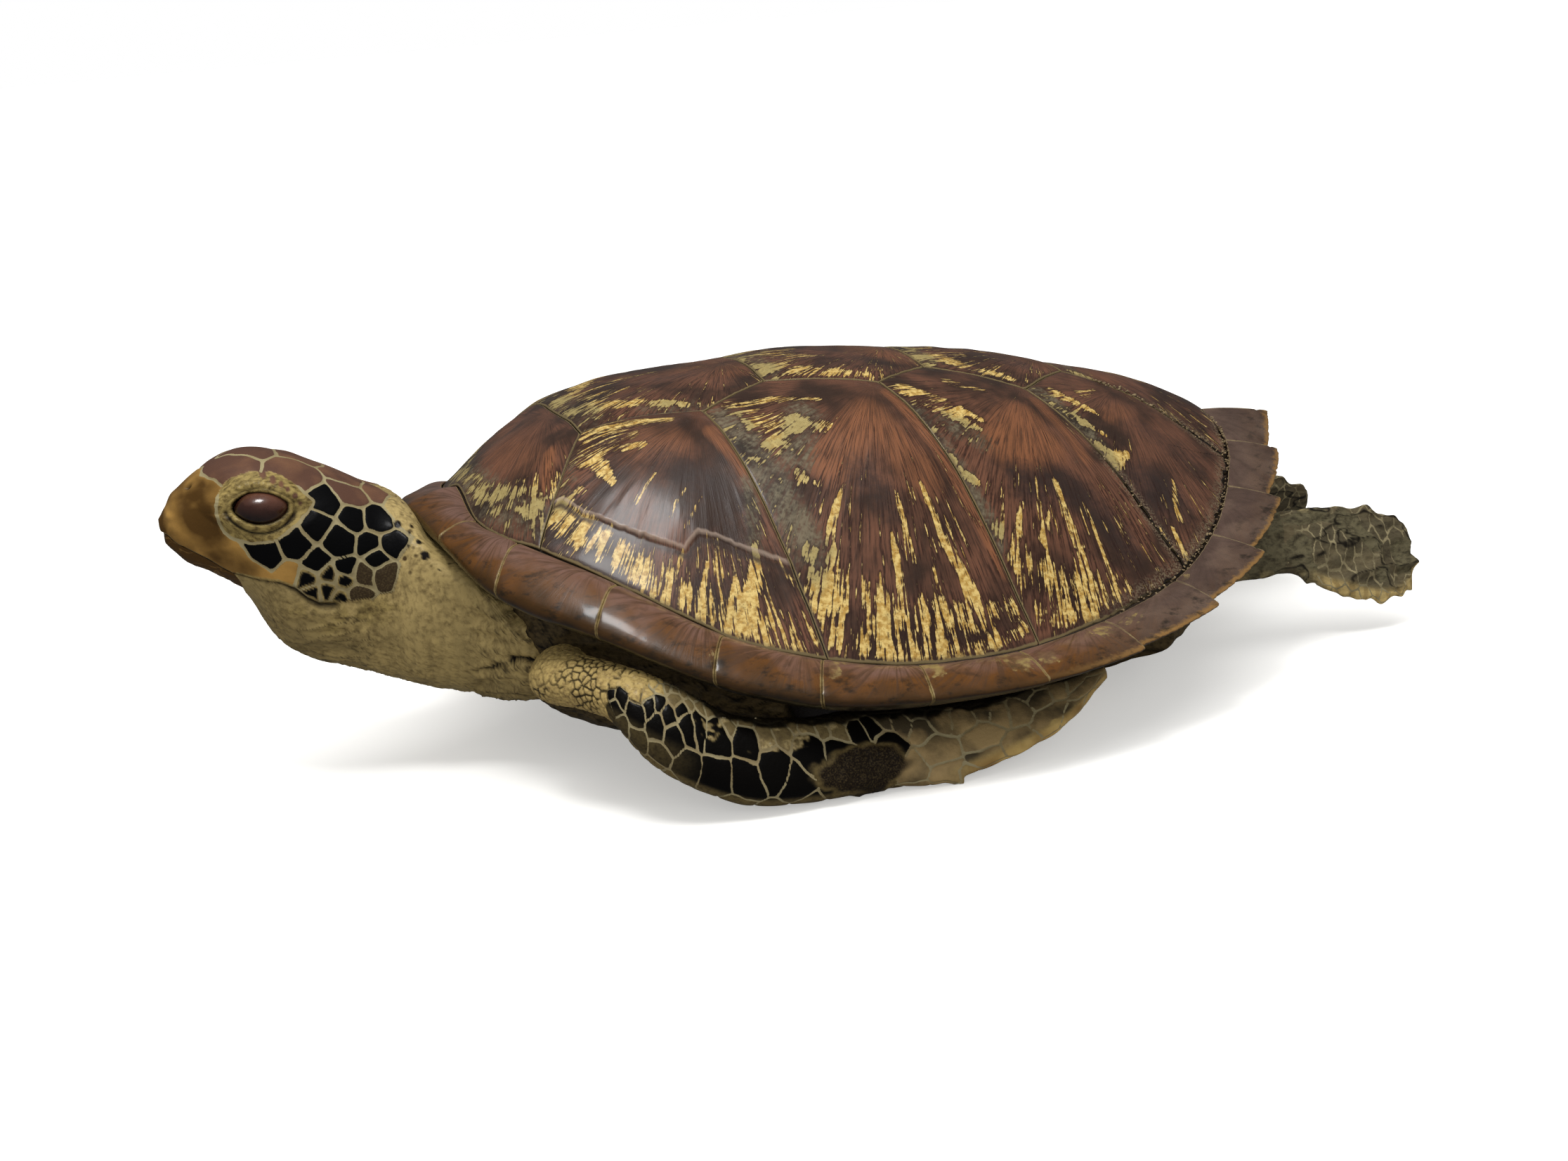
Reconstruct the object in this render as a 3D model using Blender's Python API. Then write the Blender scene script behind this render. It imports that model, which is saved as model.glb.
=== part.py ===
"""Mounted green turtle: horn scutes laid over one bone box, with the head, jaw, eyes, flippers, tail and skin as pieces of their own.

Shell points are written as shares of the carapace's straight length: x runs from the front rim (0) to the rear tip (1),
y is the distance from the midline, z is the height above the widest part of the rim. place() turns them into metres.
"""

import math

import bmesh
import bpy
import numpy as np

SHELL_LENGTH = 0.50  # straight carapace length, metres
BELLY_DEPTH = 0.110  # rim plane to resting face, in shares
SCUTE_THICK = 0.0016 / SHELL_LENGTH
SEAM_HALF = 0.00035 / SHELL_LENGTH  # half of the gap between two plates
BONE_DROP = 0.0052 / SHELL_LENGTH  # bone surface below the plates' outer surface
CLEAR = 0.0005 / SHELL_LENGTH  # gap where two pieces meet
CENTRE = np.array([0.5, 0.0])

# Outer edge of the rim at each marginal seam, from the middle of the nuchal plate round one side to the tail
OUTER = [
    (0.030, 0, 0.158), (0.040, 0.102, 0.143), (0.070, 0.204, 0.110), (0.143, 0.288, 0.078), (0.234, 0.350, 0.034),
    (0.325, 0.382, 0.006), (0.428, 0.397, -0.008), (0.545, 0.397, -0.011), (0.655, 0.372, -0.004), (0.760, 0.322, 0.012),
    (0.850, 0.250, 0.035), (0.920, 0.163, 0.064), (0.968, 0.078, 0.096), (1.000, 0, 0.122),
]
# Line where the rim plates meet the big plates, at the same seams
INNER = [
    (0.083, 0, 0.170), (0.083, 0.088, 0.150), (0.105, 0.168, 0.142), (0.179, 0.247, 0.106), (0.262, 0.303, 0.056),
    (0.346, 0.332, 0.026), (0.435, 0.343, 0.008), (0.540, 0.337, 0.002), (0.643, 0.312, 0.009), (0.745, 0.268, 0.024),
    (0.820, 0.208, 0.048), (0.878, 0.138, 0.078), (0.915, 0.070, 0.112), (0.925, 0, 0.135),
]
# Corners where vertebral and costal plates meet, front to rear
CORNERS = [
    (0.192, 0.098, 0.225), (0.309, 0.132, 0.236), (0.389, 0.085, 0.250), (0.497, 0.127, 0.240),
    (0.566, 0.075, 0.240), (0.667, 0.105, 0.207), (0.740, 0.035, 0.207),
]
CREST = [
    (0.13, 0, 0.202), (0.2, 0, 0.233), (0.3, 0, 0.254), (0.4, 0, 0.260), (0.5, 0, 0.256), (0.6, 0, 0.244),
    (0.7, 0, 0.223), (0.8, 0, 0.195), (0.87, 0, 0.167),
]
FLANK = [
    (0.16, 0.17, 0.175), (0.25, 0.23, 0.155), (0.36, 0.25, 0.150), (0.47, 0.26, 0.140), (0.58, 0.24, 0.140),
    (0.70, 0.20, 0.130), (0.80, 0.13, 0.135),
]
COSTAL_FEET = [2.25, 5.05, 7.25, 9.25, 11.6]  # where the costal seams meet the inner rim line
RIM_THICK = [0.016, 0.016, 0.016, 0.015, 0.015, 0.014, 0.010, 0.008, 0.007, 0.006, 0.005, 0.005, 0.005, 0.005]
RIM_BULGE = [0.004, 0.006, 0.009, 0.011, 0.011, 0.009, 0.007, 0.005, 0.004, 0.003, 0.002, 0.002, 0.002, 0.002]
RIM_TOOTH = [0, 0, 0, 0, 0, 0, 0.001, 0.002, 0.006, 0.009, 0.010, 0.010, 0.009, 0.009]
WALL_SHARE = [0.58, 0.58, 0.60, 0.65, 0.71, 0.74, 0.74, 0.74, 0.71, 0.66, 0.62, 0.60, 0.60, 0.60]

# Head and neck, side view: x, top, bottom, level of the widest point, half width
HEAD_STATIONS = [
    (-0.213, 0.180, 0.160, 0.170, 0.006), (-0.205, 0.190, 0.148, 0.168, 0.018), (-0.190, 0.208, 0.132, 0.168, 0.031),
    (-0.165, 0.225, 0.117, 0.168, 0.045), (-0.140, 0.236, 0.094, 0.166, 0.058), (-0.115, 0.237, 0.045, 0.160, 0.068),
    (-0.085, 0.228, 0.020, 0.150, 0.075), (-0.050, 0.210, 0.006, 0.135, 0.078), (-0.012, 0.187, -0.012, 0.100, 0.082),
    (0.012, 0.166, -0.022, 0.078, 0.092), (0.030, 0.128, -0.030, 0.055, 0.103), (0.065, 0.115, -0.040, 0.040, 0.125),
    (0.110, 0.098, -0.048, 0.025, 0.150),
    (0.200, 0.080, -0.048, 0.020, 0.150),
]
# Front flipper: lower edge, upper edge, half thickness, shoulder to tip
FRONT_FLIPPER = [
    ((0.200, 0.120, -0.045), (0.200, 0.120, 0.030), 0.034),
    ((0.130, 0.205, -0.010), (0.118, 0.195, 0.040), 0.030),
    ((0.152, 0.287, -0.014), (0.166, 0.272, 0.036), 0.030),
    ((0.178, 0.327, -0.050), (0.202, 0.305, 0.020), 0.029),
    ((0.243, 0.347, -0.090), (0.256, 0.317, -0.018), 0.027),
    ((0.315, 0.352, -0.103), (0.315, 0.318, -0.030), 0.025),
    ((0.392, 0.354, -0.103), (0.376, 0.308, -0.038), 0.021),
    ((0.447, 0.364, -0.104), (0.451, 0.298, -0.048), 0.014),
    ((0.518, 0.362, -0.092), (0.520, 0.290, -0.052), 0.010),
    ((0.580, 0.352, -0.074), (0.590, 0.285, -0.046), 0.007),
    ((0.648, 0.306, -0.050), (0.650, 0.292, -0.044), 0.004),
]
REAR_FLIPPER = [
    ((0.850, 0.120, -0.035), (0.850, 0.105, 0.020), 0.016),
    ((0.946, 0.137, -0.034), (0.965, 0.095, 0.028), 0.013),
    ((1.011, 0.152, -0.062), (1.033, 0.090, 0.021), 0.010),
    ((1.068, 0.152, -0.080), (1.085, 0.092, 0.014), 0.007),
    ((1.100, 0.142, -0.070), (1.118, 0.102, -0.008), 0.005),
    ((1.118, 0.128, -0.050), (1.122, 0.116, -0.032), 0.003),
]
TAIL = [  # x, height, radius
    (0.840, -0.010, 0.026), (0.900, -0.014, 0.024), (0.950, -0.024, 0.018), (0.985, -0.034, 0.011), (1.005, -0.040, 0.005),
]
EYE_CENTRE = (-0.118, 0.052, 0.187)
EYE_RADII = (0.027, 0.020, 0.018)
MOUTH = [(-0.260, 0.176), (-0.130, 0.115), (-0.158, 0.080), (-0.260, 0.080)]  # side view of the wedge that is the lower jaw

HORN_BIG = ((0.115, 0.052, 0.038, 1), 0.22)
HORN_RIM = ((0.155, 0.070, 0.038, 1), 0.25)
SKIN_PALE = ((0.250, 0.200, 0.110, 1), 0.45)
SKIN_DARK = ((0.060, 0.050, 0.038, 1), 0.50)
BONE = ((0.520, 0.450, 0.330, 1), 0.60)
EYE_GLASS = ((0.030, 0.014, 0.010, 1), 0.05)


def clearScene():
    for item in list(bpy.data.objects):
        bpy.data.objects.remove(item, do_unlink=True)


def makeMaterial(name, look):
    material = bpy.data.materials.new(name)
    material.use_nodes = True
    shader = material.node_tree.nodes["Principled BSDF"]
    shader.inputs["Base Color"].default_value = look[0]
    shader.inputs["Roughness"].default_value = look[1]
    shader.inputs["Metallic"].default_value = 0.0
    return material


def place(point):
    return (
        (point[0] - CENTRE[0]) * SHELL_LENGTH,
        point[1] * SHELL_LENGTH,
        (point[2] + BELLY_DEPTH) * SHELL_LENGTH,
    )


def curveAt(points, t):
    """Smooth curve through the points at parameter t, counted in points."""
    points = np.asarray(points, float)
    if points.ndim == 1:
        points = points[:, None]
    last = len(points) - 1
    i = min(max(int(math.floor(t)), 0), last - 1)
    f = t - i
    p1, p2 = points[i], points[i + 1]
    p0 = points[i - 1] if i > 0 else 2 * p1 - p2
    p3 = points[i + 2] if i + 2 <= last else 2 * p2 - p1
    return 0.5 * (2 * p1 + (p2 - p0) * f + (2 * p0 - 5 * p1 + 4 * p2 - p3) * f**2 + (3 * p1 - p0 - 3 * p2 + p3) * f**3)


def rimPoint(table, t):
    """Point of a rim line; a negative t is on the turtle's right side."""
    point = curveAt(table, abs(t))
    if abs(t) in (0, 13):
        point[1] = 0
    return np.array([point[0], -point[1] if t >= 0 else point[1], point[2]])


def rimValue(table, t):
    return float(curveAt(table, abs(t))[0])


def heightField():
    """Thin-plate surface through the dome's design points."""
    half = INNER + CORNERS + CREST + FLANK
    points = np.array(half + [(x, -y, z) for x, y, z in half if y > 0])
    plan = points[:, :2]

    def kernel(a, b):
        r2 = ((a[:, None] - b[None]) ** 2).sum(-1)
        return np.where(r2 > 0, 0.5 * r2 * np.log(np.maximum(r2, 1e-18)), 0)

    n = len(points)
    system = np.zeros((n + 3, n + 3))
    system[:n, :n] = kernel(plan, plan) + 1e-5 * np.eye(n)
    system[:n, n:] = np.c_[np.ones(n), plan]
    system[n:, :n] = system[:n, n:].T
    weights = np.linalg.solve(system, np.r_[points[:, 2], 0, 0, 0])

    def height(x, y):
        q = np.array([[x, y]], float)
        return float((kernel(q, plan) @ weights[:n] + np.c_[1, q] @ weights[n:])[0])

    return height


dome = heightField()


def meshObject(name, points, faces, material):
    mesh = bpy.data.meshes.new(name)
    mesh.from_pydata([place(p) for p in points], [], faces)
    build = bmesh.new()
    build.from_mesh(mesh)
    bmesh.ops.remove_doubles(build, verts=build.verts, dist=1e-6)
    bmesh.ops.recalc_face_normals(build, faces=build.faces)
    if build.calc_volume(signed=True) < 0:
        bmesh.ops.reverse_faces(build, faces=build.faces)
    build.to_mesh(mesh)
    build.free()
    mesh.shade_smooth()
    mesh.set_sharp_from_angle(angle=math.radians(40))
    mesh.materials.append(material)
    item = bpy.data.objects.new(name, mesh)
    bpy.context.scene.collection.objects.link(item)
    return item


def skinRings(name, start, rings, end, material):
    """Closed solid through a stack of equal rings, each end closed to a point."""
    points = [start] + [p for ring in rings for p in ring] + [end]
    size = len(rings[0])
    faces = []
    for j in range(size):
        k = (j + 1) % size
        faces.append((0, 1 + k, 1 + j))
        for r in range(len(rings) - 1):
            a, b = 1 + r * size, 1 + (r + 1) * size
            faces.append((a + j, a + k, b + k, b + j))
        a = 1 + (len(rings) - 1) * size
        faces.append((a + j, a + k, len(points) - 1))
    return meshObject(name, points, faces, material)


def skinSections(name, sections, material):
    """Closed solid swept through sections, each an outer and an inner run of the same length."""
    size = len(sections[0][0])
    loop = 2 * size
    points = [p for outer, inner in sections for p in list(outer) + list(inner)[::-1]]
    faces = []
    for s in range(len(sections) - 1):
        a, b = s * loop, (s + 1) * loop
        for j in range(loop):
            k = (j + 1) % loop
            faces.append((a + j, a + k, b + k, b + j))
    for base in (0, (len(sections) - 1) * loop):
        for j in range(size - 1):
            faces.append((base + j, base + j + 1, base + loop - 2 - j, base + loop - 1 - j))
    return meshObject(name, points, faces, material)


def inset(loop, distance):
    """Plan outline drawn in by a distance."""
    loop = np.asarray(loop, float)
    before, after = np.roll(loop, 1, 0) - loop, np.roll(loop, -1, 0) - loop
    before /= np.linalg.norm(before, axis=1)[:, None]
    after /= np.linalg.norm(after, axis=1)[:, None]
    along = after - before
    along /= np.linalg.norm(along, axis=1)[:, None]
    normal = np.c_[-along[:, 1], along[:, 0]]
    area = np.sum(loop[:, 0] * np.roll(loop[:, 1], -1) - np.roll(loop[:, 0], -1) * loop[:, 1])
    if area < 0:
        normal = -normal
    sine = np.abs(np.einsum("ij,ij->i", normal, np.c_[-after[:, 1], after[:, 0]]))
    return loop + normal * (distance / np.clip(sine, 0.5, 1))[:, None]


def seam(a, b, steps):
    a, b = np.asarray(a[:2], float), np.asarray(b[:2], float)
    return [a + (b - a) * i / steps for i in range(steps)]


def rimRun(t0, t1):
    """Plan points along the inner rim line from t0 up to, not including, t1."""
    steps = max(2, round(abs(t1 - t0) * 2))
    return [rimPoint(INNER, t0 + (t1 - t0) * i / steps)[:2] for i in range(steps)]


def bigPlate(name, outline, material):
    """Vertebral or costal plate: a thin shell on the dome, star-shaped about its middle."""
    outline = inset(outline, SEAM_HALF)
    middle = outline.mean(0)
    rings = []
    for share, drop in ((0.5, 0), (1.0, 0), (1.0, SCUTE_THICK), (0.5, SCUTE_THICK)):
        ring = middle + (outline - middle) * share
        rings.append([(x, y, dome(x, y) - drop) for x, y in ring])
    top = dome(*middle)
    return skinRings(name, (*middle, top), rings, (*middle, top - SCUTE_THICK), material)


def corner(i, side):
    x, y, z = CORNERS[i]
    return (x, -y * side, z)


def makeBigPlates(material):
    feet = COSTAL_FEET
    for side, word in ((1, "left"), (-1, "right")):
        c = [corner(i, side) for i in range(7)]
        foot = [rimPoint(INNER, t * side) for t in feet]
        heads = [[c[0], c[1]], [c[1], c[2], c[3]], [c[3], c[4], c[5]], [c[5], c[6]]]
        for k, head in enumerate(heads):
            path = [foot[k]] + head + [foot[k + 1]]
            outline = []
            for i, (a, b) in enumerate(zip(path, path[1:])):
                outline += seam(a, b, 5 if i in (0, len(path) - 2) else 2)
            outline += rimRun(feet[k + 1] * side, feet[k] * side)
            bigPlate(f"costal_scute_{word}_{k + 1}", outline, material)
    left = [corner(i, 1) for i in range(7)]
    right = [corner(i, -1) for i in range(7)]
    first = seam(left[0], rimPoint(INNER, feet[0]), 5) + rimRun(feet[0], -feet[0])
    first += seam(rimPoint(INNER, -feet[0]), right[0], 5) + seam(right[0], left[0], 2)
    bigPlate("vertebral_scute_1", first, material)
    for number, (a, b, c) in ((2, (0, 1, 2)), (3, (2, 3, 4)), (4, (4, 5, 6))):
        path = [left[a], left[b], left[c], right[c], right[b], right[a], left[a]]
        outline = []
        for p, q in zip(path, path[1:]):
            outline += seam(p, q, 2)
        bigPlate(f"vertebral_scute_{number}", outline, material)
    last = seam(right[6], left[6], 2) + seam(left[6], rimPoint(INNER, feet[4]), 5)
    tail = [rimPoint(INNER, t)[:2] for t in (feet[4], 12, 12.5, 13, -12.5, -12)]
    last += tail + seam(rimPoint(INNER, -feet[4]), right[6], 5)
    bigPlate("vertebral_scute_5", last, material)


def rimSection(t, toothShare):
    """Outer and inner runs of a rim plate at t: over the top, round the edge and back under."""
    inner, outer = rimPoint(INNER, t), rimPoint(OUTER, t)
    across = outer - inner
    flat = np.array([across[0], across[1], 0.0])
    flat /= np.linalg.norm(flat)
    outer = outer + flat * rimValue(RIM_TOOTH, t) * toothShare
    across = outer - inner
    thick, bulge = rimValue(RIM_THICK, t), rimValue(RIM_BULGE, t)
    up = np.array([0, 0, 1.0])
    start = inner + flat * SEAM_HALF
    under = inner + flat * 0.004
    under[2] = outer[2] - thick - 0.006
    outside = [
        start,
        inner + across * 0.36 + up * bulge,
        inner + across * 0.74 + up * bulge * 0.8,
        outer,
        outer - flat * 0.004 - up * thick * 0.75,
        inner + across * 0.45 + (under - inner - across * 0.45) * up - up * 0.002,
        under,
    ]
    middle = 0.5 * (outside[2] + outside[4])
    inside = [
        start - up * SCUTE_THICK,
        outside[1] - up * SCUTE_THICK,
        middle - flat * 0.006 + up * 0.0012,
        middle - flat * 0.002,
        middle - flat * 0.006 - up * 0.0012,
        outside[5] + up * SCUTE_THICK,
        under + up * SCUTE_THICK,
    ]
    return outside, inside


def tooth(share):
    """Outward swell of a rear rim plate along its own length, greatest near its hind corner."""
    return math.sin(math.pi * min(1, share * 0.9 + 0.05)) * 0.6 + share * 0.55 - 0.45


def rimPlate(name, t0, t1, material, steps=3):
    gap = 0.0075 * (1 if t1 > t0 else -1) * 0.5
    sections = []
    for i in range(steps + 1):
        t = t0 + gap + (t1 - t0 - 2 * gap) * i / steps
        sections.append(rimSection(t, tooth(i / steps)))
    return skinSections(name, sections, material)


def makeRimPlates(material):
    sections = [rimSection(-1 + 0.00375 + 1.9925 * i / 6, 0) for i in range(7)]
    skinSections("nuchal_scute", sections, material)
    for side, word in ((1, "left"), (-1, "right")):
        for k in range(1, 12):
            rimPlate(f"marginal_scute_{word}_{k}", k * side, (k + 1) * side, material)
        rimPlate(f"supracaudal_scute_{word}", 12 * side, 13 * side, material)


def shareOf(t, share):
    """Plan point between the shell's middle and the inner rim line."""
    point = rimPoint(INNER, t)[:2]
    return CENTRE + (point - CENTRE) * share


def roundTimes(count):
    return [-13 + 26 * i / count for i in range(count)]


def makeBone(material):
    """Bone box: the dome under the plates, the bridges and the flat plastron, grown as one piece."""
    times = roundTimes(52)
    rings = []
    for share in (0.28, 0.52, 0.74, 0.90, 0.98):
        ring = []
        for t in times:
            x, y = shareOf(t, share)
            ring.append((x, y, dome(x, y) - BONE_DROP * (1.35 if share > 0.95 else 1)))
        rings.append(ring)
    for kind in ("tip", "under"):
        ring = []
        for t in times:
            outside, inside = rimSection(t, 0)
            inner = rimPoint(INNER, t)
            if kind == "tip":
                point = inner + (inside[3] - inner) * 0.44
                point[2] = inner[2] + (inside[3][2] - inner[2]) * 0.44 - 0.006
            else:
                x, y = shareOf(t, 0.965)
                point = np.array([x, y, inside[6][2] + CLEAR * 2])
            ring.append(tuple(point))
        rings.append(ring)
    for offset, height in ((0.0, -0.080), (0.035, -0.094), (0.020, -0.110)):
        ring = []
        for t in times:
            x, y = shareOf(t, rimValue(WALL_SHARE, t) + offset)
            ring.append((x, y, height))
        rings.append(ring)
    start = (*CENTRE, dome(*CENTRE) - BONE_DROP)
    return skinRings("shell_bone", start, rings, (*CENTRE, -BELLY_DEPTH), material)


def skinColumn(t, grow, deep):
    """Outer and inner runs of the skin between the rim and the plastron."""
    outside, inside = rimSection(t, 0)
    inner = rimPoint(INNER, t)
    wall = rimValue(WALL_SHARE, t)
    top = outside[6][2] - CLEAR * 2 + grow
    low = -0.090 - grow
    outer, back = [], []
    for share, level in ((0.985, 1.0), (0.97, 0.75), (0.94, 0.5), (0.90, 0.25), (wall + 0.065, 0.0)):
        height = low + (top - low) * level
        x, y = shareOf(t, share + grow * 2.5)
        outer.append((x, y, height))
        at = wall + (0.965 - wall) * max(0.0, (height + 0.080) / (inside[6][2] + 0.080))
        x, y = shareOf(t, deep if deep else at + 0.018)
        if not deep and height < -0.080:
            x, y = shareOf(t, wall + 0.035 + CLEAR * 3)
        back.append((x, y, height))
    return outer, back


def makeSkin(name, t0, t1, steps, material, grow=0.0, deep=None):
    sections = [skinColumn(t0 + (t1 - t0) * i / steps, grow, deep) for i in range(steps + 1)]
    return skinSections(name, sections, material)


def makeRearSkin(name, material, grow=0.0, deep=None):
    times = [9.5 + 0.5 * i for i in range(8)] + [-12.5 + 0.5 * i for i in range(7)]
    return skinSections(name, [skinColumn(t, grow, deep) for t in times], material)


def cut(item, tool):
    tool.hide_render = True
    tool.display_type = "WIRE"
    modifier = item.modifiers.new("meet " + tool.name, "BOOLEAN")
    modifier.operation = "DIFFERENCE"
    modifier.solver = "EXACT"
    modifier.object = tool
    return modifier


def headSection(station, count):
    x, top, bottom, level, half = station
    ring = []
    for j in range(count):
        angle = 2 * math.pi * j / count
        c, s = math.cos(angle), math.sin(angle)
        y = half * math.copysign(abs(c) ** 0.85, c)
        z = level + (top - level if s > 0 else level - bottom) * math.copysign(abs(s) ** 0.9, s)
        ring.append((x, y, z))
    return ring


def makeHead(name, material, count=16):
    steps = 18
    stations = [curveAt(HEAD_STATIONS, (len(HEAD_STATIONS) - 1) * i / steps) for i in range(steps + 1)]
    rings = [headSection(s, count) for s in stations]
    first, last = stations[0], stations[-1]
    return skinRings(name, (first[0] - 0.002, 0, first[3]), rings, (last[0], 0, last[3]), material)


def makeWedge(name, grow, material):
    """Side-view wedge carried across the head: it bounds the lower jaw."""
    outline = inset(MOUTH, -grow)
    near, far = [(x, -0.2, z) for x, z in outline], [(x, 0.2, z) for x, z in outline]
    size = len(near)
    faces = [tuple(range(size)), tuple(range(2 * size - 1, size - 1, -1))]
    faces += [(j, (j + 1) % size, size + (j + 1) % size, size + j) for j in range(size)]
    return meshObject(name, near + far, faces, material)


def makeEye(name, side, grow, material, count=14, bands=7):
    centre = np.array(EYE_CENTRE) * (1, -side, 1)
    radii = np.array(EYE_RADII) + grow
    rings = []
    for b in range(1, bands):
        polar = math.pi * b / bands
        rings.append([
            centre + radii * (math.sin(polar) * math.cos(a), math.cos(polar), math.sin(polar) * math.sin(a))
            for a in (2 * math.pi * j / count for j in range(count))
        ])
    start, end = centre + radii * (0, 1, 0), centre - radii * (0, 1, 0)
    return skinRings(name, start, rings, end, material)


def makeLimb(name, table, side, material, count=12, steps=16):
    lows = [s[0] for s in table]
    highs = [s[1] for s in table]
    halves = [s[2] for s in table]
    rings, middles = [], []
    span = len(table) - 1
    for i in range(steps + 1):
        t = span * i / steps
        low, high, half = curveAt(lows, t), curveAt(highs, t), float(curveAt(halves, t)[0])
        middle, reach = 0.5 * (low + high), 0.5 * (high - low)
        ahead = 0.5 * (curveAt(lows, min(span, t + 0.1)) + curveAt(highs, min(span, t + 0.1)))
        behind = 0.5 * (curveAt(lows, max(0, t - 0.1)) + curveAt(highs, max(0, t - 0.1)))
        normal = np.cross(ahead - behind, reach)
        normal *= half / np.linalg.norm(normal)
        ring = []
        for j in range(count):
            angle = 2 * math.pi * j / count
            p = middle + reach * math.cos(angle) + normal * math.sin(angle)
            ring.append((p[0], -p[1] * side, max(p[2], -BELLY_DEPTH + 0.001)))
        rings.append(ring)
        middles.append((middle[0], -middle[1] * side, middle[2]))
    return skinRings(name, middles[0], rings, middles[-1], material)


def makeTail(material, count=10):
    rings = []
    for x, height, radius in TAIL:
        rings.append([
            (x, radius * math.cos(a), height + radius * math.sin(a) * 0.8)
            for a in (2 * math.pi * j / count for j in range(count))
        ])
    first, last = TAIL[0], TAIL[-1]
    return skinRings("tail", (first[0], 0, first[1]), rings, (last[0] + 0.004, 0, last[1]), material)


def makeSoftParts(pale, dark, horn, glass):
    makeSkin("front_skin", -4.5, 4.5, 18, dark)
    makeRearSkin("rear_skin", dark)
    frontCutter = makeSkin("front_cutter", -5.0, 5.0, 20, dark, grow=CLEAR * 1.5, deep=0.3)
    rearCutter = makeRearSkin("rear_cutter", dark, grow=CLEAR * 1.5, deep=0.4)
    head = makeHead("head_and_neck", pale)
    jaw = makeHead("lower_jaw", horn)
    wedge = makeWedge("jaw_wedge", 0.0, pale)
    wedgeCutter = makeWedge("jaw_cutter", CLEAR * 1.4, pale)
    keep = cut(jaw, wedge)
    keep.operation = "INTERSECT"
    cut(head, wedgeCutter)
    cut(head, frontCutter)
    for side, word in ((1, "left"), (-1, "right")):
        makeEye(f"eye_{word}", side, 0.0, glass)
        cut(head, makeEye(f"socket_{word}", side, CLEAR * 1.4, pale))
        cut(makeLimb(f"front_flipper_{word}", FRONT_FLIPPER, side, dark), frontCutter)
        cut(makeLimb(f"rear_flipper_{word}", REAR_FLIPPER, side, dark, count=10, steps=10), rearCutter)
    cut(makeTail(dark), rearCutter)


clearScene()
hornBig = makeMaterial("horn_big_plates", HORN_BIG)
hornRim = makeMaterial("horn_rim_plates", HORN_RIM)
skinPale = makeMaterial("skin_pale", SKIN_PALE)
skinDark = makeMaterial("skin_dark", SKIN_DARK)
makeBone(makeMaterial("bone", BONE))
makeBigPlates(hornBig)
makeRimPlates(hornRim)
makeSoftParts(skinPale, skinDark, hornRim, makeMaterial("eye_glass", EYE_GLASS))
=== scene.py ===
import math
from functools import partial

import bpy
import numpy as np
from mathutils import Matrix, Vector


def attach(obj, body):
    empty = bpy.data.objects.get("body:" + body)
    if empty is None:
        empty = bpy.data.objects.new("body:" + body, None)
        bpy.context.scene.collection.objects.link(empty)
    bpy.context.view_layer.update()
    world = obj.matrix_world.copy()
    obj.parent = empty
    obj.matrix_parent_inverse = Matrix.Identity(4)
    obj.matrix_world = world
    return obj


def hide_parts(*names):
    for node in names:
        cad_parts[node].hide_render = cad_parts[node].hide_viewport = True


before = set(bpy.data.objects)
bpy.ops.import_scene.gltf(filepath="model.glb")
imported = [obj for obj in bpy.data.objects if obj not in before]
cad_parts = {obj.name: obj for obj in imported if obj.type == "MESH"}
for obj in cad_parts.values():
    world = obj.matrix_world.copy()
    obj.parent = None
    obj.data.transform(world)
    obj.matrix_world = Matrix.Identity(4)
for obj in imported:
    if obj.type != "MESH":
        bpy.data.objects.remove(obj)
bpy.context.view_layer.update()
print("frame loaded:", len(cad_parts), "nodes")

# Shell points are shares of the carapace's straight length: x from the front rim (0) to the rear tip (1),
# y from the midline, z above the widest part of the rim. place() turns them into metres.
shellLength = 0.50
bellyDepth = 0.110
mm = 0.001 / shellLength  # one millimetre, in shares
leastHeight = 0.0002  # metres that the lowest skin stays clear of the floor

outerRim = [
    (0.030, 0, 0.158), (0.040, 0.102, 0.143), (0.070, 0.204, 0.110), (0.143, 0.288, 0.078), (0.234, 0.350, 0.034),
    (0.325, 0.382, 0.006), (0.428, 0.397, -0.008), (0.545, 0.397, -0.011), (0.655, 0.372, -0.004),
    (0.760, 0.322, 0.012),
    (0.850, 0.250, 0.035), (0.920, 0.163, 0.064), (0.968, 0.078, 0.096), (1.000, 0, 0.122),
]
innerRim = [
    (0.083, 0, 0.170), (0.083, 0.088, 0.150), (0.105, 0.168, 0.142), (0.179, 0.247, 0.106), (0.262, 0.303, 0.056),
    (0.346, 0.332, 0.026), (0.435, 0.343, 0.008), (0.540, 0.337, 0.002), (0.643, 0.312, 0.009), (0.745, 0.268, 0.024),
    (0.820, 0.208, 0.048), (0.878, 0.138, 0.078), (0.915, 0.070, 0.112), (0.925, 0, 0.135),
]
corners = [
    (0.192, 0.098, 0.225), (0.309, 0.132, 0.236), (0.389, 0.085, 0.250), (0.497, 0.127, 0.240),
    (0.566, 0.075, 0.240), (0.667, 0.105, 0.207), (0.740, 0.035, 0.207),
]
crest = [
    (0.13, 0, 0.202), (0.2, 0, 0.233), (0.3, 0, 0.254), (0.4, 0, 0.260), (0.5, 0, 0.256), (0.6, 0, 0.244),
    (0.7, 0, 0.223), (0.8, 0, 0.195), (0.87, 0, 0.167),
]
flank = [
    (0.16, 0.17, 0.175), (0.25, 0.23, 0.155), (0.36, 0.25, 0.150), (0.47, 0.26, 0.140), (0.58, 0.24, 0.140),
    (0.70, 0.20, 0.130), (0.80, 0.13, 0.135),
]
costalFeet = [2.25, 5.05, 7.25, 9.25, 11.6]  # where the costal seams meet the inner rim line
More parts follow.
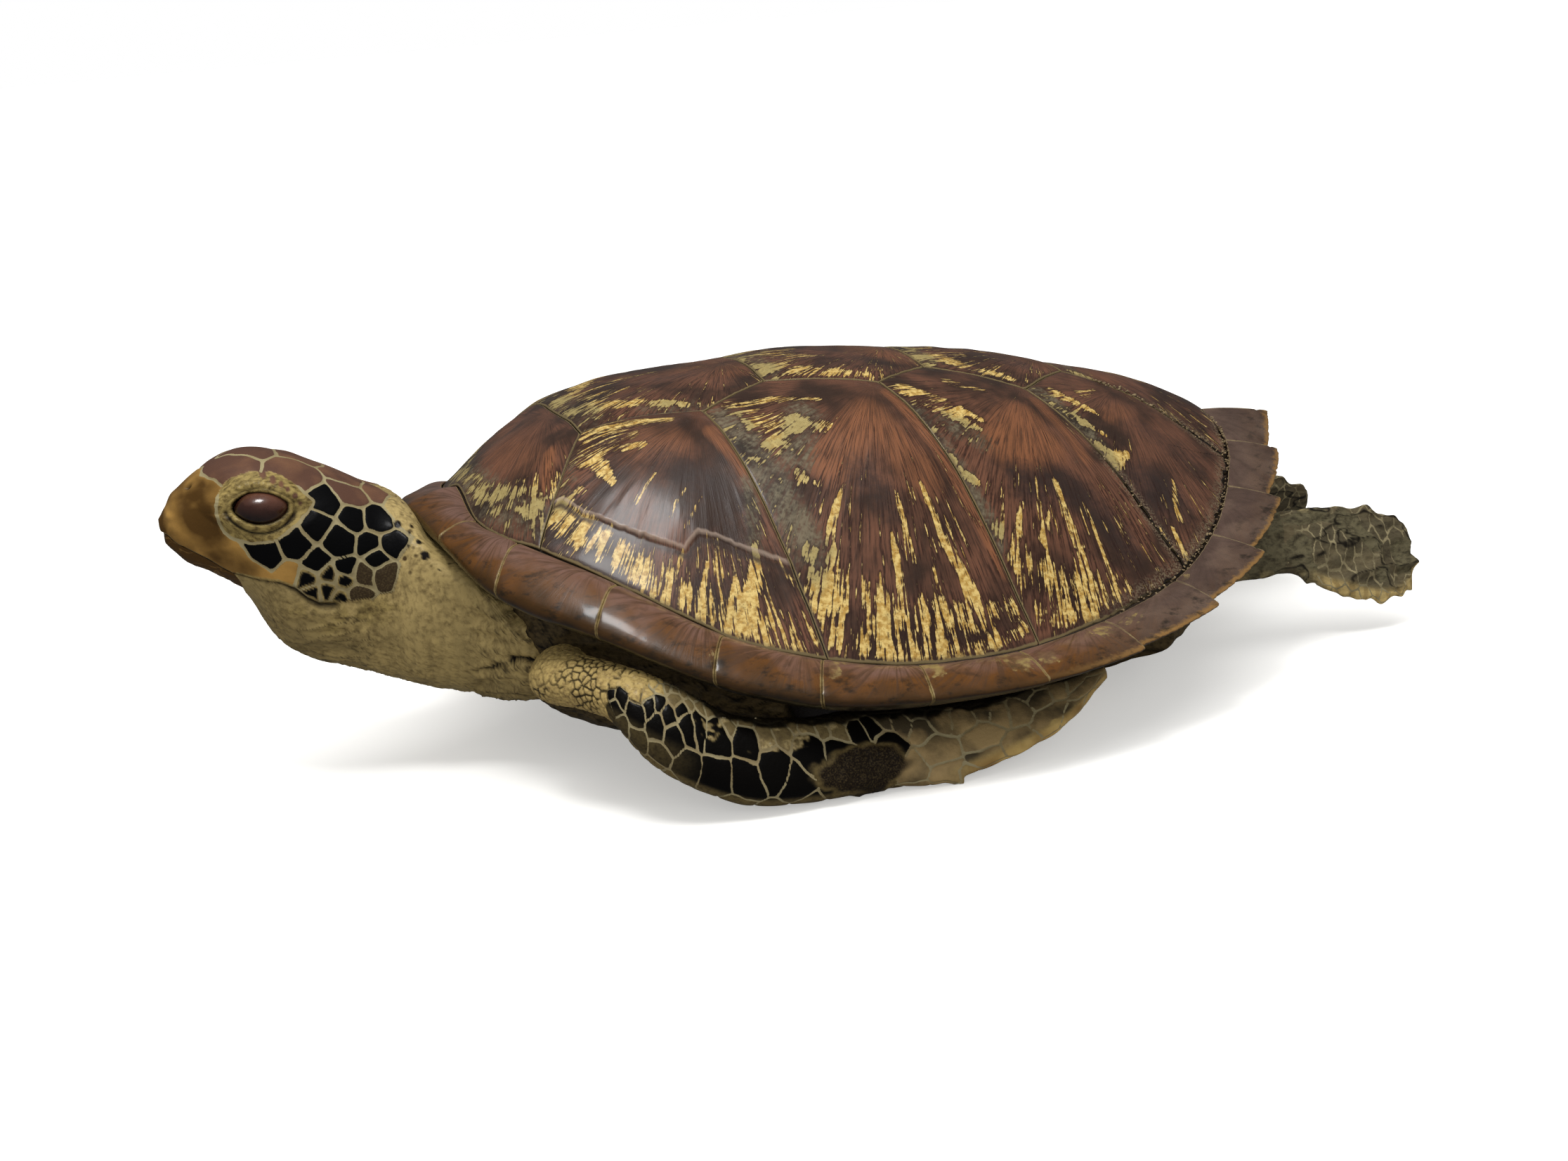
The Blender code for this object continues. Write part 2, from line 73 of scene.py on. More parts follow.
rimThick = [0.016, 0.016, 0.016, 0.015, 0.015, 0.014, 0.010, 0.008, 0.007, 0.006, 0.005, 0.005, 0.005, 0.005]
rimBulge = [0.004, 0.006, 0.009, 0.011, 0.011, 0.009, 0.007, 0.005, 0.004, 0.003, 0.002, 0.002, 0.002, 0.002]
rimTooth = [0, 0, 0, 0, 0, 0, 0.001, 0.002, 0.006, 0.009, 0.010, 0.010, 0.009, 0.009]
wallShare = [0.58, 0.58, 0.60, 0.65, 0.71, 0.74, 0.74, 0.74, 0.71, 0.66, 0.62, 0.60, 0.60, 0.60]

headStations = [  # x, top, bottom, level of the widest point, half width
    (-0.213, 0.180, 0.160, 0.170, 0.006), (-0.205, 0.190, 0.148, 0.168, 0.018), (-0.190, 0.208, 0.132, 0.168, 0.031),
    (-0.165, 0.225, 0.117, 0.168, 0.045), (-0.140, 0.236, 0.094, 0.166, 0.058), (-0.115, 0.237, 0.045, 0.160, 0.068),
    (-0.085, 0.228, 0.020, 0.150, 0.075), (-0.050, 0.210, 0.006, 0.135, 0.078), (-0.012, 0.187, -0.012, 0.100, 0.082),
    (0.012, 0.176, -0.022, 0.092, 0.097), (0.025, 0.163, -0.027, 0.100, 0.103), (0.037, 0.142, -0.032, 0.102, 0.108),
    (0.065, 0.125, -0.040, 0.085, 0.120),
    (0.110, 0.098, -0.048, 0.025, 0.150), (0.200, 0.080, -0.048, 0.020, 0.150),
]
frontFlipper = [  # lower edge, upper edge, half thickness, from the shoulder to the tip
    ((0.200, 0.120, -0.045), (0.200, 0.120, 0.030), 0.034), ((0.130, 0.205, -0.010), (0.118, 0.195, 0.040), 0.030),
    ((0.152, 0.287, -0.014), (0.166, 0.272, 0.036), 0.030), ((0.178, 0.327, -0.050), (0.202, 0.305, 0.020), 0.029),
    ((0.243, 0.347, -0.090), (0.256, 0.317, -0.018), 0.027), ((0.315, 0.352, -0.103), (0.315, 0.318, -0.030), 0.025),
    ((0.392, 0.354, -0.103), (0.376, 0.308, -0.038), 0.021), ((0.447, 0.364, -0.104), (0.451, 0.298, -0.048), 0.014),
    ((0.518, 0.362, -0.092), (0.520, 0.290, -0.052), 0.010), ((0.580, 0.352, -0.074), (0.590, 0.285, -0.046), 0.007),
    ((0.648, 0.306, -0.050), (0.650, 0.292, -0.044), 0.004),
]
rearFlipper = [
    ((0.850, 0.120, -0.035), (0.850, 0.105, 0.020), 0.016), ((0.946, 0.137, -0.034), (0.965, 0.095, 0.028), 0.013),
    ((1.011, 0.152, -0.062), (1.033, 0.090, 0.021), 0.010), ((1.068, 0.152, -0.080), (1.085, 0.092, 0.014), 0.007),
    ((1.100, 0.142, -0.070), (1.118, 0.102, -0.008), 0.005), ((1.118, 0.128, -0.050), (1.122, 0.116, -0.032), 0.003),
]
tailLine = [
    (0.840, -0.010, 0.026), (0.900, -0.014, 0.024), (0.950, -0.024, 0.018), (0.985, -0.034, 0.011),
    (1.005, -0.040, 0.005)
]


def place(points):
    return (np.asarray(points, float) - (0.5, 0, -bellyDepth)) * shellLength


def smooth(low, high, value):
    f = np.clip((value - low) / (high - low), 0, 1)
    return f * f * (3 - 2 * f)


def curve(table, t):
    # Smooth curve through the rows of a table, with t counted in rows
    table = np.asarray(table, float)
    if table.ndim == 1:
        table = table[:, None]
    t = np.atleast_1d(np.asarray(t, float))
    last = len(table) - 1
    padded = np.vstack([2 * table[:1] - table[1:2], table, 2 * table[-1:] - table[-2:-1]])
    i = np.clip(np.floor(t).astype(int), 0, last - 1)
    f = (t - i)[:, None]
    a, b, c, d = padded[i], padded[i + 1], padded[i + 2], padded[i + 3]
    return 0.5 * (2 * b + (c - a) * f + (2 * a - 5 * b + 4 * c - d) * f**2 + (3 * b - a - 3 * c + d) * f**3)


def rimLine(table, t):
    # Points of a rim line; t runs 0 to 13 from the nuchal plate to the tail down the left side, negative on the right
    t = np.atleast_1d(np.asarray(t, float))
    points = curve(table, np.abs(t))
    points[:, 1] *= np.where((t == 0) | (np.abs(t) == 13), 0, np.where(t >= 0, -1, 1))
    return points


def grain(points, size, seed=0, layers=3):
    # Smooth random value, about -1 to 1, with features of the given size in the points' own unit
    p = np.asarray(points, float) / size + seed * 7.31
    total, share = 0.0, 1.0
    for layer in range(layers):
        cell = np.floor(p)
        f = p - cell
        f = f * f * (3 - 2 * f)
        cell = cell.astype(np.int64)
        value = 0.0
        for n in range(8):
            step = np.array([n & 1, n >> 1 & 1, n >> 2 & 1])
            c = cell + step
            h = (c[:, 0] * 73856093) ^ (c[:, 1] * 19349663) ^ (c[:, 2] * 83492791) ^ (seed * 9781 + layer * 6271)
            h = ((h ^ (h >> 13)) * 1274126177) & 0xFFFFFFFF
            h = ((h ^ (h >> 15)) * 2246822519) & 0xFFFFFFFF
            value = value + np.where(step, f, 1 - f).prod(1) * (h / 4294967295.0)
        total = total + share * (2 * value - 1)
        share *= 0.5
        p = p * 2.03 + 11.7
    return total * 1.3


def awayFrom(points, line):
    # Distance in plan from each point to a run of straight pieces
    points, line = np.asarray(points, float), np.asarray(line, float)
    a, ab = line[:-1], line[1:] - line[:-1]
    least = np.full(len(points), 1e9)
    for start, run in zip(a, ab):
        rel = points - start
        f = np.clip(rel @ run / max(run @ run, 1e-12), 0, 1)
        least = np.minimum(least, np.linalg.norm(rel - f[:, None] * run, axis=1))
    return least


def strokes(points, marks, centre=None):
    # Marks are (strength, width in mm, points along the mark); the densest one counts. With a centre, a mark
    # tapers towards its end nearer the centre, as a flame mark does
    field = np.zeros(len(points))
    for strength, width, line in marks:
        line = np.array(line, float)
        if centre is not None and np.linalg.norm(line[0] - centre) > np.linalg.norm(line[-1] - centre):
            line = line[::-1]
        wide = np.ones(len(line)) if centre is None else np.linspace(0.35, 1.1, len(line))
        for a, b, low, high in zip(line, line[1:], wide, wide[1:]):
            run = b - a
            f = np.clip((points - a) @ run / max(run @ run, 1e-12), 0, 1)
            far = np.linalg.norm(points - a - f[:, None] * run, axis=1) / (width * mm * (low + (high - low) * f))
            field = np.maximum(field, strength * (1 - smooth(0.2, 1.25, far)))
    return field


def thinPlate(design):
    # Height over the plan of a smooth surface bent through the design's points, both sides alike
    points = np.array(design + [(x, -y, z) for x, y, z in design if y > 0])
    plan = points[:, :2]

    def kernel(a):
        r2 = ((a[:, None] - plan[None]) ** 2).sum(-1)
        return np.where(r2 > 0, 0.5 * r2 * np.log(np.maximum(r2, 1e-18)), 0)

    n = len(points)
    system = np.zeros((n + 3, n + 3))
    system[:n, :n] = kernel(plan) + 1e-5 * np.eye(n)
    system[:n, n:] = np.c_[np.ones(n), plan]
    system[n:, :n] = system[:n, n:].T
    weights = np.linalg.solve(system, np.r_[points[:, 2], 0, 0, 0])
    return lambda xy: kernel(xy) @ weights[:n] + np.c_[np.ones(len(xy)), xy] @ weights[n:]


dome = thinPlate(innerRim + corners + crest + flank)


def placed(name, data):
    # An object that holds the mesh, lamp or camera data, in the scene and at the origin
    item = bpy.data.objects.new(name, data)
    bpy.context.scene.collection.objects.link(item)
    return item


def makePiece(name, points, faces, material, fields=None, growth=None):
    # Points in shares; faces are arrays of three or four corners each; fields become attributes, growth a UV map
    points = place(points)
    points[:, 2] = np.maximum(points[:, 2], leastHeight)
    faces = [np.asarray(f, np.int64) for f in faces if len(f)]
    volume = sum(
        (points[f[:, 0]] * np.cross(points[f[:, k]], points[f[:, k + 1]])).sum() for f in faces
        for k in range(1, f.shape[1] - 1)
    )
    if volume < 0:  # the faces point inwards
        faces = [f[:, ::-1] for f in faces]
    mesh = bpy.data.meshes.new(name)
    mesh.vertices.add(len(points))
    mesh.vertices.foreach_set("co", points.astype(np.float32).ravel())
    loops = np.concatenate([f.ravel() for f in faces])
    sizes = np.concatenate([np.full(len(f), f.shape[1]) for f in faces])
    mesh.loops.add(len(loops))
    mesh.loops.foreach_set("vertex_index", loops.astype(np.int32))
    mesh.polygons.add(len(sizes))
    mesh.polygons.foreach_set("loop_start", np.r_[0, np.cumsum(sizes)[:-1]].astype(np.int32))
    mesh.update(calc_edges=True)
    mesh.shade_smooth()
    for key, values in (fields or {}).items():
        values = np.full(len(points), values) if np.isscalar(values) else values
        mesh.attributes.new(key, "FLOAT", "POINT").data.foreach_set("value", np.asarray(values, np.float32))
    if growth is not None:
        layer = mesh.uv_layers.new(name="growth")
        layer.uv.foreach_set("vector", np.asarray(growth, np.float32)[loops].ravel())
    mesh.materials.append(material)
    return placed(name, mesh)


def settle(item, node):
    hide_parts(node)
    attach(item, "root")


def ringFaces(rows, size, first=0):
    # Quads between closed rings of points
    j = np.arange(size)
    k = (j + 1) % size
    base = first + np.arange(rows - 1)[:, None] * size
    return np.stack([base + j, base + k, base + size + k, base + size + j], -1).reshape(-1, 4)


def fanFaces(pole, first, size, turned=False):
    j = np.arange(size)
    fan = np.stack([np.full(size, pole), first + (j + 1) % size, first + j], 1)
    return fan[:, ::-1] if turned else fan


def closedTube(rings):
    # Points and faces of rings (rows, around, 3) with a pole closing each end
    rows, size = rings.shape[:2]
    points = np.vstack([rings.reshape(-1, 3), rings[0].mean(0), rings[-1].mean(0)])
    faces = [
        ringFaces(rows, size), fanFaces(rows * size, 0, size), fanFaces(rows * size + 1, (rows - 1) * size, size, True)
    ]
    return points, faces


def outward(rings):
    # Unit normals of closed rings, pointing away from each ring's middle
    along = np.gradient(rings, axis=0)
    around = np.roll(rings, -1, 1) - np.roll(rings, 1, 1)
    normal = np.cross(around, along)
    normal /= np.maximum(np.linalg.norm(normal, axis=-1), 1e-12)[..., None]
    flip = ((rings - rings.mean(1, keepdims=True)) * normal).sum(-1).mean()
    return normal if flip > 0 else -normal


def closedWall(front, back):
    # Points and faces of a wall whose front and back are rows of points, closed round its sides and at both ends
    rows, size = front.shape[:2]
    loop = 2 * size
    points = np.concatenate([front, back[:, ::-1]], 1).reshape(-1, 3)
    j = np.arange(size - 1)
    ends = [
        np.stack([first + j, first + j + 1, first + loop - 2 - j, first + loop - 1 - j], 1)
        for first in (0, (rows - 1) * loop)
    ]
    return points, [ringFaces(rows, loop), ends[0][:, ::-1], ends[1]]


def tone(code):
    # sRGB hex to linear
    values = [int(code[i:i + 2], 16) / 255 for i in (1, 3, 5)]
    return tuple(v / 12.92 if v <= 0.04045 else ((v + 0.055) / 1.055) ** 2.4 for v in values) + (1.0,)


def addNode(tree, kind, inputs=(), out=0, **settings):
    # A node with its settings and its inputs, each a value or another node's output; gives back one output
    node = tree.nodes.new(kind if "Node" in kind else "ShaderNode" + kind)
    for key, value in settings.items():
        setattr(node, key, value)
    for key, value in (inputs.items() if isinstance(inputs, dict) else enumerate(inputs)):
        if isinstance(value, bpy.types.NodeSocket):
            tree.links.new(value, node.inputs[key])
        elif value is not None:
            node.inputs[key].default_value = value
    return node.outputs[out]


# settings that many nodes share
soft = {"interpolation_type": "SMOOTHSTEP"}
plus, times, timesPlus, unsigned, larger = (
    {"operation": word} for word in ("ADD", "MULTIPLY", "MULTIPLY_ADD", "ABSOLUTE", "MAXIMUM")
)


def newMaterial(name, *attributes):
    # Gives the material, what adds a node to it, its Object coordinates and the attributes that its pieces carry
    material = bpy.data.materials.new(name)
    material.use_nodes = True
    add = partial(addNode, material.node_tree)
    marks = {key: add("Attribute", out="Fac", attribute_name=key) for key in attributes}
    return material, add, add("TexCoord", out="Object"), marks


def finishMaterial(material, look, layers, rough, height):
    # Each layer is how much of it shows, its tone in the look, then any further share and tone mixed into it.
    # The relief is in metres, and what is the same all over goes straight to the shader
    tree = material.node_tree
    add = partial(addNode, tree)
    colour = None
    for share, first, *rest in layers:
        top = tone(look[first])
        for more, code in zip(rest[::2], rest[1::2]):
            top = add("Mix", {0: more, 6: top, 7: tone(look[code])}, 2, data_type="RGBA")
        colour = top if share is None else add("Mix", {0: share, 6: colour, 7: top}, 2, data_type="RGBA")
    bump = add("Bump", {"Strength": 1.0, "Distance": look["relief"], "Height": height})
    shader = tree.nodes["Principled BSDF"]
    for socket, value in (("Base Color", colour), ("Roughness", rough), ("Normal", bump)):
        tree.links.new(value, shader.inputs[socket])
    for key, value in look["shader"].items():
        shader.inputs[key].default_value = value
    return material


def fanFrom(add, turns, perMetre):
    # Coordinates that run out from a plate's growth centre, so that noise on them makes streaks that fan out
    growth = add("UVMap", uv_map="growth")
    way = add("VectorMath", (growth,), operation="NORMALIZE")
    reach = add("VectorMath", (growth,), "Value", operation="LENGTH")
    outwards = add("CombineXYZ", (0, 0, add("Math", (reach, perMetre), **times)))
    return add("VectorMath", (way, (turns, turns, 0), outwards), **timesPlus)


# Horn of the dome plates: keratin grown in thin sheets, dried, polished and varnished, so it is dark and
# see-through brown with cream flame marks that fan from each plate's growth centre, under a wet-looking coat
hornLook = {
    "deep": "#34241b", "warm": "#6a4532", "amber": "#875535", "smoke": "#302624", "moss": "#29241a",
    "mossPale": "#6f6650",
    # lip is a painted highlight on the edge of the loose upper layer
    "cream": "#a9843c", "creamPale": "#d2b66f", "creamDull": "#8d8052", "halo": "#29150f", "lip": "#a38f7e",
    "seamPale": "#6b5c3c", "seamOpen": "#140d0a", "dust": "#6f6049", "roughness": 0.42, "relief": 0.00022,
    "streaksPerTurn": 20.0, "streakLength": 0.042, "fineStreaks": (3.6, 3.6, 2.6),  # finer ones lie between the broad
    "shader": {
        "IOR": 1.54, "Specular IOR Level": 0.35, "Metallic": 0.0, "Coat Weight": 0.28, "Coat Roughness": 0.19,
        "Coat IOR": 1.5,
    },
}


def makeDomeHorn():
    look = hornLook
    material, add, spot, marks = newMaterial(
        "varnished keratin, polished", "cream", "amber", "moss", "smoke", "edge", "peel", "openSeam", "seed",
    )
    fan = fanFrom(add, look["streaksPerTurn"], 1 / look["streakLength"])
    fineFan = add("VectorMath", (fan, look["fineStreaks"]), **times)
    streak, fine = (
        add(
            "TexNoise", {"Vector": run, "W": marks["seed"], "Scale": 1.0, "Detail": 3.0, "Roughness": 0.6},
            noise_dimensions="4D"
        )
        for run in (fan, fineFan)
    )
    jag, blotch, cloud, speck = (  # flecks of 2 to 3 mm, spots of 5 to 10 mm, patches of 30 mm, grains of 1 mm
        add("TexNoise", {"Vector": spot, "Scale": scale, "Detail": detail})
        for scale, detail in ((420.0, 3.0), (105.0, 2.0), (34.0, 4.0), (950.0, 1.0))
    )

    # where the cream flames show through the dark horn, with a dark halo round them
    patchy = add("Math", (add("Math", (blotch, 0.5), operation="SUBTRACT"), marks["moss"]), **times)
    push = marks["cream"]
    for value, weight in ((streak, 1.45), (fine, 1.60), (jag, 0.25), (patchy, 2.3)):
        push = add("Math", (value, weight, push), **timesPlus)
    halo = add("MapRange", (push, 2.14, 2.43, 0.0, 0.75), **soft)
    flecks = add("MapRange", (speck, 0.58, 0.70, 1.0, 0.62), **soft)
    flames = add("Math", (add("MapRange", (push, 2.44, 2.53), **soft), flecks), **times)
    paler = add("MapRange", (jag, 0.4, 0.62))
    dull = add("MapRange", (add("Math", (marks["moss"], blotch), **plus), 0.55, 1.1, 0.0, 0.8))

    warmth = add("MapRange", (cloud, 0.36, 0.64), **soft)
    fade = add("MapRange", (fine, 0.42, 0.60, 0.0, 0.62), **soft)
    amber = add("MapRange", (add("Math", (streak, 0.9, marks["amber"]), **timesPlus), 0.70, 1.50, 0.0, 0.85))
    smoke = add("MapRange", (add("Math", (jag, 1.0, marks["smoke"]), **timesPlus), 0.85, 1.55, 0.0, 0.65))
    mottle = add("MapRange", (add("Math", (add("Math", (jag, fine), **plus), cloud), **plus), 1.35, 1.75))
    moss = add("Math", (add("Math", (fine, 1.4, marks["moss"]), **timesPlus), jag), **plus)
    moss = add("MapRange", (moss, 1.45, 2.15, 0.0, 0.85))

    # the loose upper layer on the first costal plates: its broken lip gets a painted highlight, with a painted shadow
    # under it
    lip, shade = (
        add("MapRange", (add("Math", (add("Math", (marks["peel"], away), **plus),), **unsigned), *span))
        for away, span in ((-0.35, (0.15, 0.75, 0.55, 0.0)), (1.7, (0.3, 1.7, 0.85, 0.0)))
    )

    # seams: cream where the plates still touch, dark and dusty where they have opened
    ragged = add("Math", (jag, 0.9, marks["edge"]), **timesPlus)
    line = add("MapRange", (ragged, 0.75, 1.10, 1.0, 0.0), **soft)
    border = add("MapRange", (ragged, 1.3, 2.2, 0.45, 0.0))
    dust = add("Math", (add("MapRange", (ragged, 1.5, 6.0, 1.0, 0.0)), marks["openSeam"]), **times)
    dust = add("Math", (dust, add("MapRange", (speck, 0.45, 0.6))), **times)
    layers = [
        (None, "deep"), (warmth, "warm"), (amber, "amber"), (fade, "deep"), (smoke, "smoke"),
        (moss, "moss", mottle, "mossPale"),
        (halo, "halo"), (flames, "cream", paler, "creamPale", dull, "creamDull"), (lip, "lip"), (shade, "deep"),
        (dust, "dust"), (border, "deep"), (line, "seamPale", marks["openSeam"], "seamOpen"),
    ]
    rough = add("Math", (add("Math", (line, dust), **larger), 0.4, look["roughness"]), **timesPlus)
    rough = add("Math", (moss, 0.10, rough), **timesPlus)
    height = add("Math", (fine, 0.7, add("Math", (jag, 0.3), **times)), **timesPlus)
    height = add("Math", (flames, -0.12, height), **timesPlus)
    return finishMaterial(material, look, layers, rough, height)


# Horn of the rim plates: the same keratin rolled thick round the edge of the shell; varnished and amber where it is
# thick at the front, dull, dusty and glowing tan at its thin serrated edge towards the tail
rimHornLook = {
    # under is a near-black tone, painted shade on the rim's underside; the dark spots borrow it as well
    "top": "#6c4f42", "side": "#5c3811", "red": "#48311f", "low": "#3c2506", "under": "#181309", "cream": "#6e5c36",
    "creamPale": "#98824f", "rear": "#41322a", "rearPale": "#5d4b3f", "glow": "#83602f", "seam": "#7f6c40",
    "seamRear": "#7b6b4c", "roughness": 0.40, "relief": 0.0003, "streaksPerTurn": 9.0, "streaksPerMetre": 26.0,
    "shader": {
        "IOR": 1.54, "Specular IOR Level": 0.35, "Metallic": 0.0, "Coat Weight": 0.40, "Coat Roughness": 0.14,
        "Coat IOR": 1.5,
    },
}


def makeRimHorn():
    look = rimHornLook
    material, add, spot, marks = newMaterial(
        "thick rolled keratin, varnished", "across", "edge", "inner", "rear", "cream", "glow", "seed",
    )
    fan = fanFrom(add, look["streaksPerTurn"], look["streaksPerMetre"])
    streak = add(
        "TexNoise", {"Vector": fan, "W": marks["seed"], "Scale": 1.6, "Detail": 4.0, "Roughness": 0.6},
        noise_dimensions="4D"
    )
    jag, cloud, speck = (  # flecks of 2 to 3 mm, patches of 20 mm, grains of 1 mm
        add("TexNoise", {"Vector": spot, "Scale": scale, "Detail": detail})
        for scale, detail in ((380.0, 3.0), (55.0, 4.0), (1100.0, 2.0))
    )
    upright = add("VectorMath", (spot, (1.0, 1.0, 2.2)), **times)
    mottle = add("TexNoise", {"Vector": upright, "Scale": 120.0, "Detail": 6.0, "Roughness": 0.65})

    # from the top over the bulge to the underside: darker towards the bottom, with a near-black underside that is
    # painted shade
    level = add("Math", (add("Math", (cloud, 0.9, marks["across"]), **timesPlus), -0.45), **plus)
    side, low, under = (add("MapRange", (level, *span)) for span in ((0.30, 0.62), (0.66, 1.0), (1.08, 1.4)))
    red = add("MapRange", (streak, 0.46, 0.62, 0.0, 0.8))
    dusty = add("MapRange", (cloud, 0.40, 0.64))
    rearShare = add("Math", (marks["rear"], 0.82), **times)
    tip = add("Math", (add("Math", (add("Math", (marks["across"], -1.02), **plus),), **unsigned), jag), **times)
    glow = add("Math", (add("MapRange", (tip, 0.025, 0.085, 0.9, 0.0)), marks["glow"]), **times)
    lowSpots = add("MapRange", (level, 0.35, 0.7, 0.25, 1.0))
    spots = add("Math", (add("MapRange", (mottle, 0.52, 0.66, 0.0, 0.75)), lowSpots), **times)

    push = marks["cream"]
    for value, weight in ((streak, 1.5), (jag, 0.9)):
        push = add("Math", (value, weight, push), **timesPlus)
    flames = add("MapRange", (push, 1.74, 1.92), **soft)
    flames = add("Math", (flames, add("MapRange", (mottle, 0.40, 0.54, 1.0, 0.12))), **times)
    ragged = add("Math", (jag, 0.9, marks["edge"]), **timesPlus)
    ends = add("MapRange", (ragged, 0.95, 1.35, 1.0, 0.0), **soft)
    ends = add("Math", (ends, add("MapRange", (mottle, 0.38, 0.58, 1.0, 0.35))), **times)
    hem = add("MapRange", (marks["inner"], 0.35, 0.75, 0.8, 0.0), **soft)
    line = add("Math", (ends, hem), **larger)
    layers = [
        (None, "top"), (side, "side"), (red, "red"), (low, "low"), (under, "under"),
        (rearShare, "rear", dusty, "rearPale"),
        (glow, "glow"), (spots, "under"), (flames, "cream", jag, "creamPale"),
        (line, "seam", marks["rear"], "seamRear"),
    ]
    rough = add("Math", (marks["rear"], 0.28, look["roughness"]), **timesPlus)
    rough = add("Math", (line, 0.2, rough), **timesPlus)
    height = add("Math", (streak, 0.6, add("Math", (speck, marks["rear"]), **times)), **timesPlus)
    return finishMaterial(material, look, layers, rough, height)


# Bone cleaned and air-dried: porous and matt, cream with brown oil stains below, painted dark brown as shade where it
# lies under the horn and the rim
boneTones = {
    "cream": "#c8b487", "stain": "#8f7344", "line": "#54401f", "hidden": "#2b2018", "relief": 0.0004,
    "shader": {"IOR": 1.53, "Metallic": 0.0},
}


def makeBoneMatter():
    material, add, spot, marks = newMaterial("bone, cleaned and air-dried", "belly", "seam")
    cloud = add("TexNoise", {"Vector": spot, "Scale": 30.0, "Detail": 6.0, "Roughness": 0.65})
    pore = add("TexNoise", {"Vector": spot, "Scale": 900.0, "Detail": 3.0})  # pores of about 1 mm
    stain = add("MapRange", (cloud, 0.42, 0.68), **soft)
    line = add("MapRange", (add("Math", (pore, 1.2, marks["seam"]), **timesPlus), 0.9, 2.4, 0.85, 0.0))
    # painted shade: dark brown over the bone above the belly, under the horn and the rim
    hidden = add("Math", (1.0, marks["belly"]), operation="SUBTRACT")
    layers = [(None, "cream"), (stain, "stain"), (line, "line"), (hidden, "hidden")]
    rough = add("MapRange", (pore, 0.3, 0.7, 0.5, 0.72))
    return finishMaterial(material, boneTones, layers, rough, add("Math", (pore, cloud), **plus))


# Preserved turtle skin: hide stretched over a form, dried, painted back to its colours and varnished. Scales are
# thin plates with paler skin between them; loose skin shows fine crinkles
skinLooks = {
    "head hide, dried and varnished": {
        "skin": "#a7925f", "skinDark": "#73623d", "fleck": "#33210f", "plate": "#563c30", "plateWarm": "#71503a",
        "scale": "#040405", "line": "#948967", "lid": "#95824d", "lidDark": "#4f4022", "beak": "#9c773c",
        "beakDark": "#4b3311",
        "callus": "#35291a", "dark": "#100a06", "lineWide": 0.88, "roughness": 0.50, "coat": 0.10, "relief": 0.00022,
        "crinkle": (240.0, 700.0, 330.0),
    },
    "flipper hide, dried and varnished": {
        "skin": "#b0985f", "skinDark": "#735f3b", "fleck": "#2a2013", "plate": "#453c2b", "plateWarm": "#9a8258",
        "scale": "#080604", "line": "#938867", "lid": "#94896a", "lidDark": "#5b5240", "beak": "#c0a464",
        "beakDark": "#77592f",
        "callus": "#1d150e", "dark": "#090604", "lineWide": 0.80, "roughness": 0.52, "coat": 0.08, "relief": 0.00035,
        "crinkle": (520.0, 520.0, 520.0),
    },
    # the fold skin's tones are darkened as painted shade, for the shade under the rim
    "fold hide, dried": {
        "skin": "#54462c", "skinDark": "#241d12", "fleck": "#1b150d", "plate": "#3f3526", "plateWarm": "#5a4a30",
        "scale": "#1c1812", "line": "#8a7c57", "lid": "#a08f62", "lidDark": "#5b4f34", "beak": "#a99569",
        "beakDark": "#5a4a2c",
        "callus": "#2a2118", "dark": "#0d0906", "lineWide": 0.6, "roughness": 0.62, "coat": 0.08, "relief": 0.0005,
        "crinkle": (300.0, 300.0, 620.0),
    },
    "hind hide, dried and shrunken": {
        "skin": "#5c553f", "skinDark": "#2b251a", "fleck": "#17130c", "plate": "#443b2d", "plateWarm": "#685b43",
        "scale": "#221d16", "line": "#857a5c", "lid": "#b3a06f", "lidDark": "#6b5d3c", "beak": "#c0a970",
        "beakDark": "#6f5a33",
        "callus": "#231c14", "dark": "#0f0b07", "lineWide": 0.5, "roughness": 0.60, "coat": 0.12, "relief": 0.0006,
        "crinkle": (260.0, 420.0, 420.0),
    },
}
lineSoftness = 0.26  # mm over which a skin line fades into the scales beside it


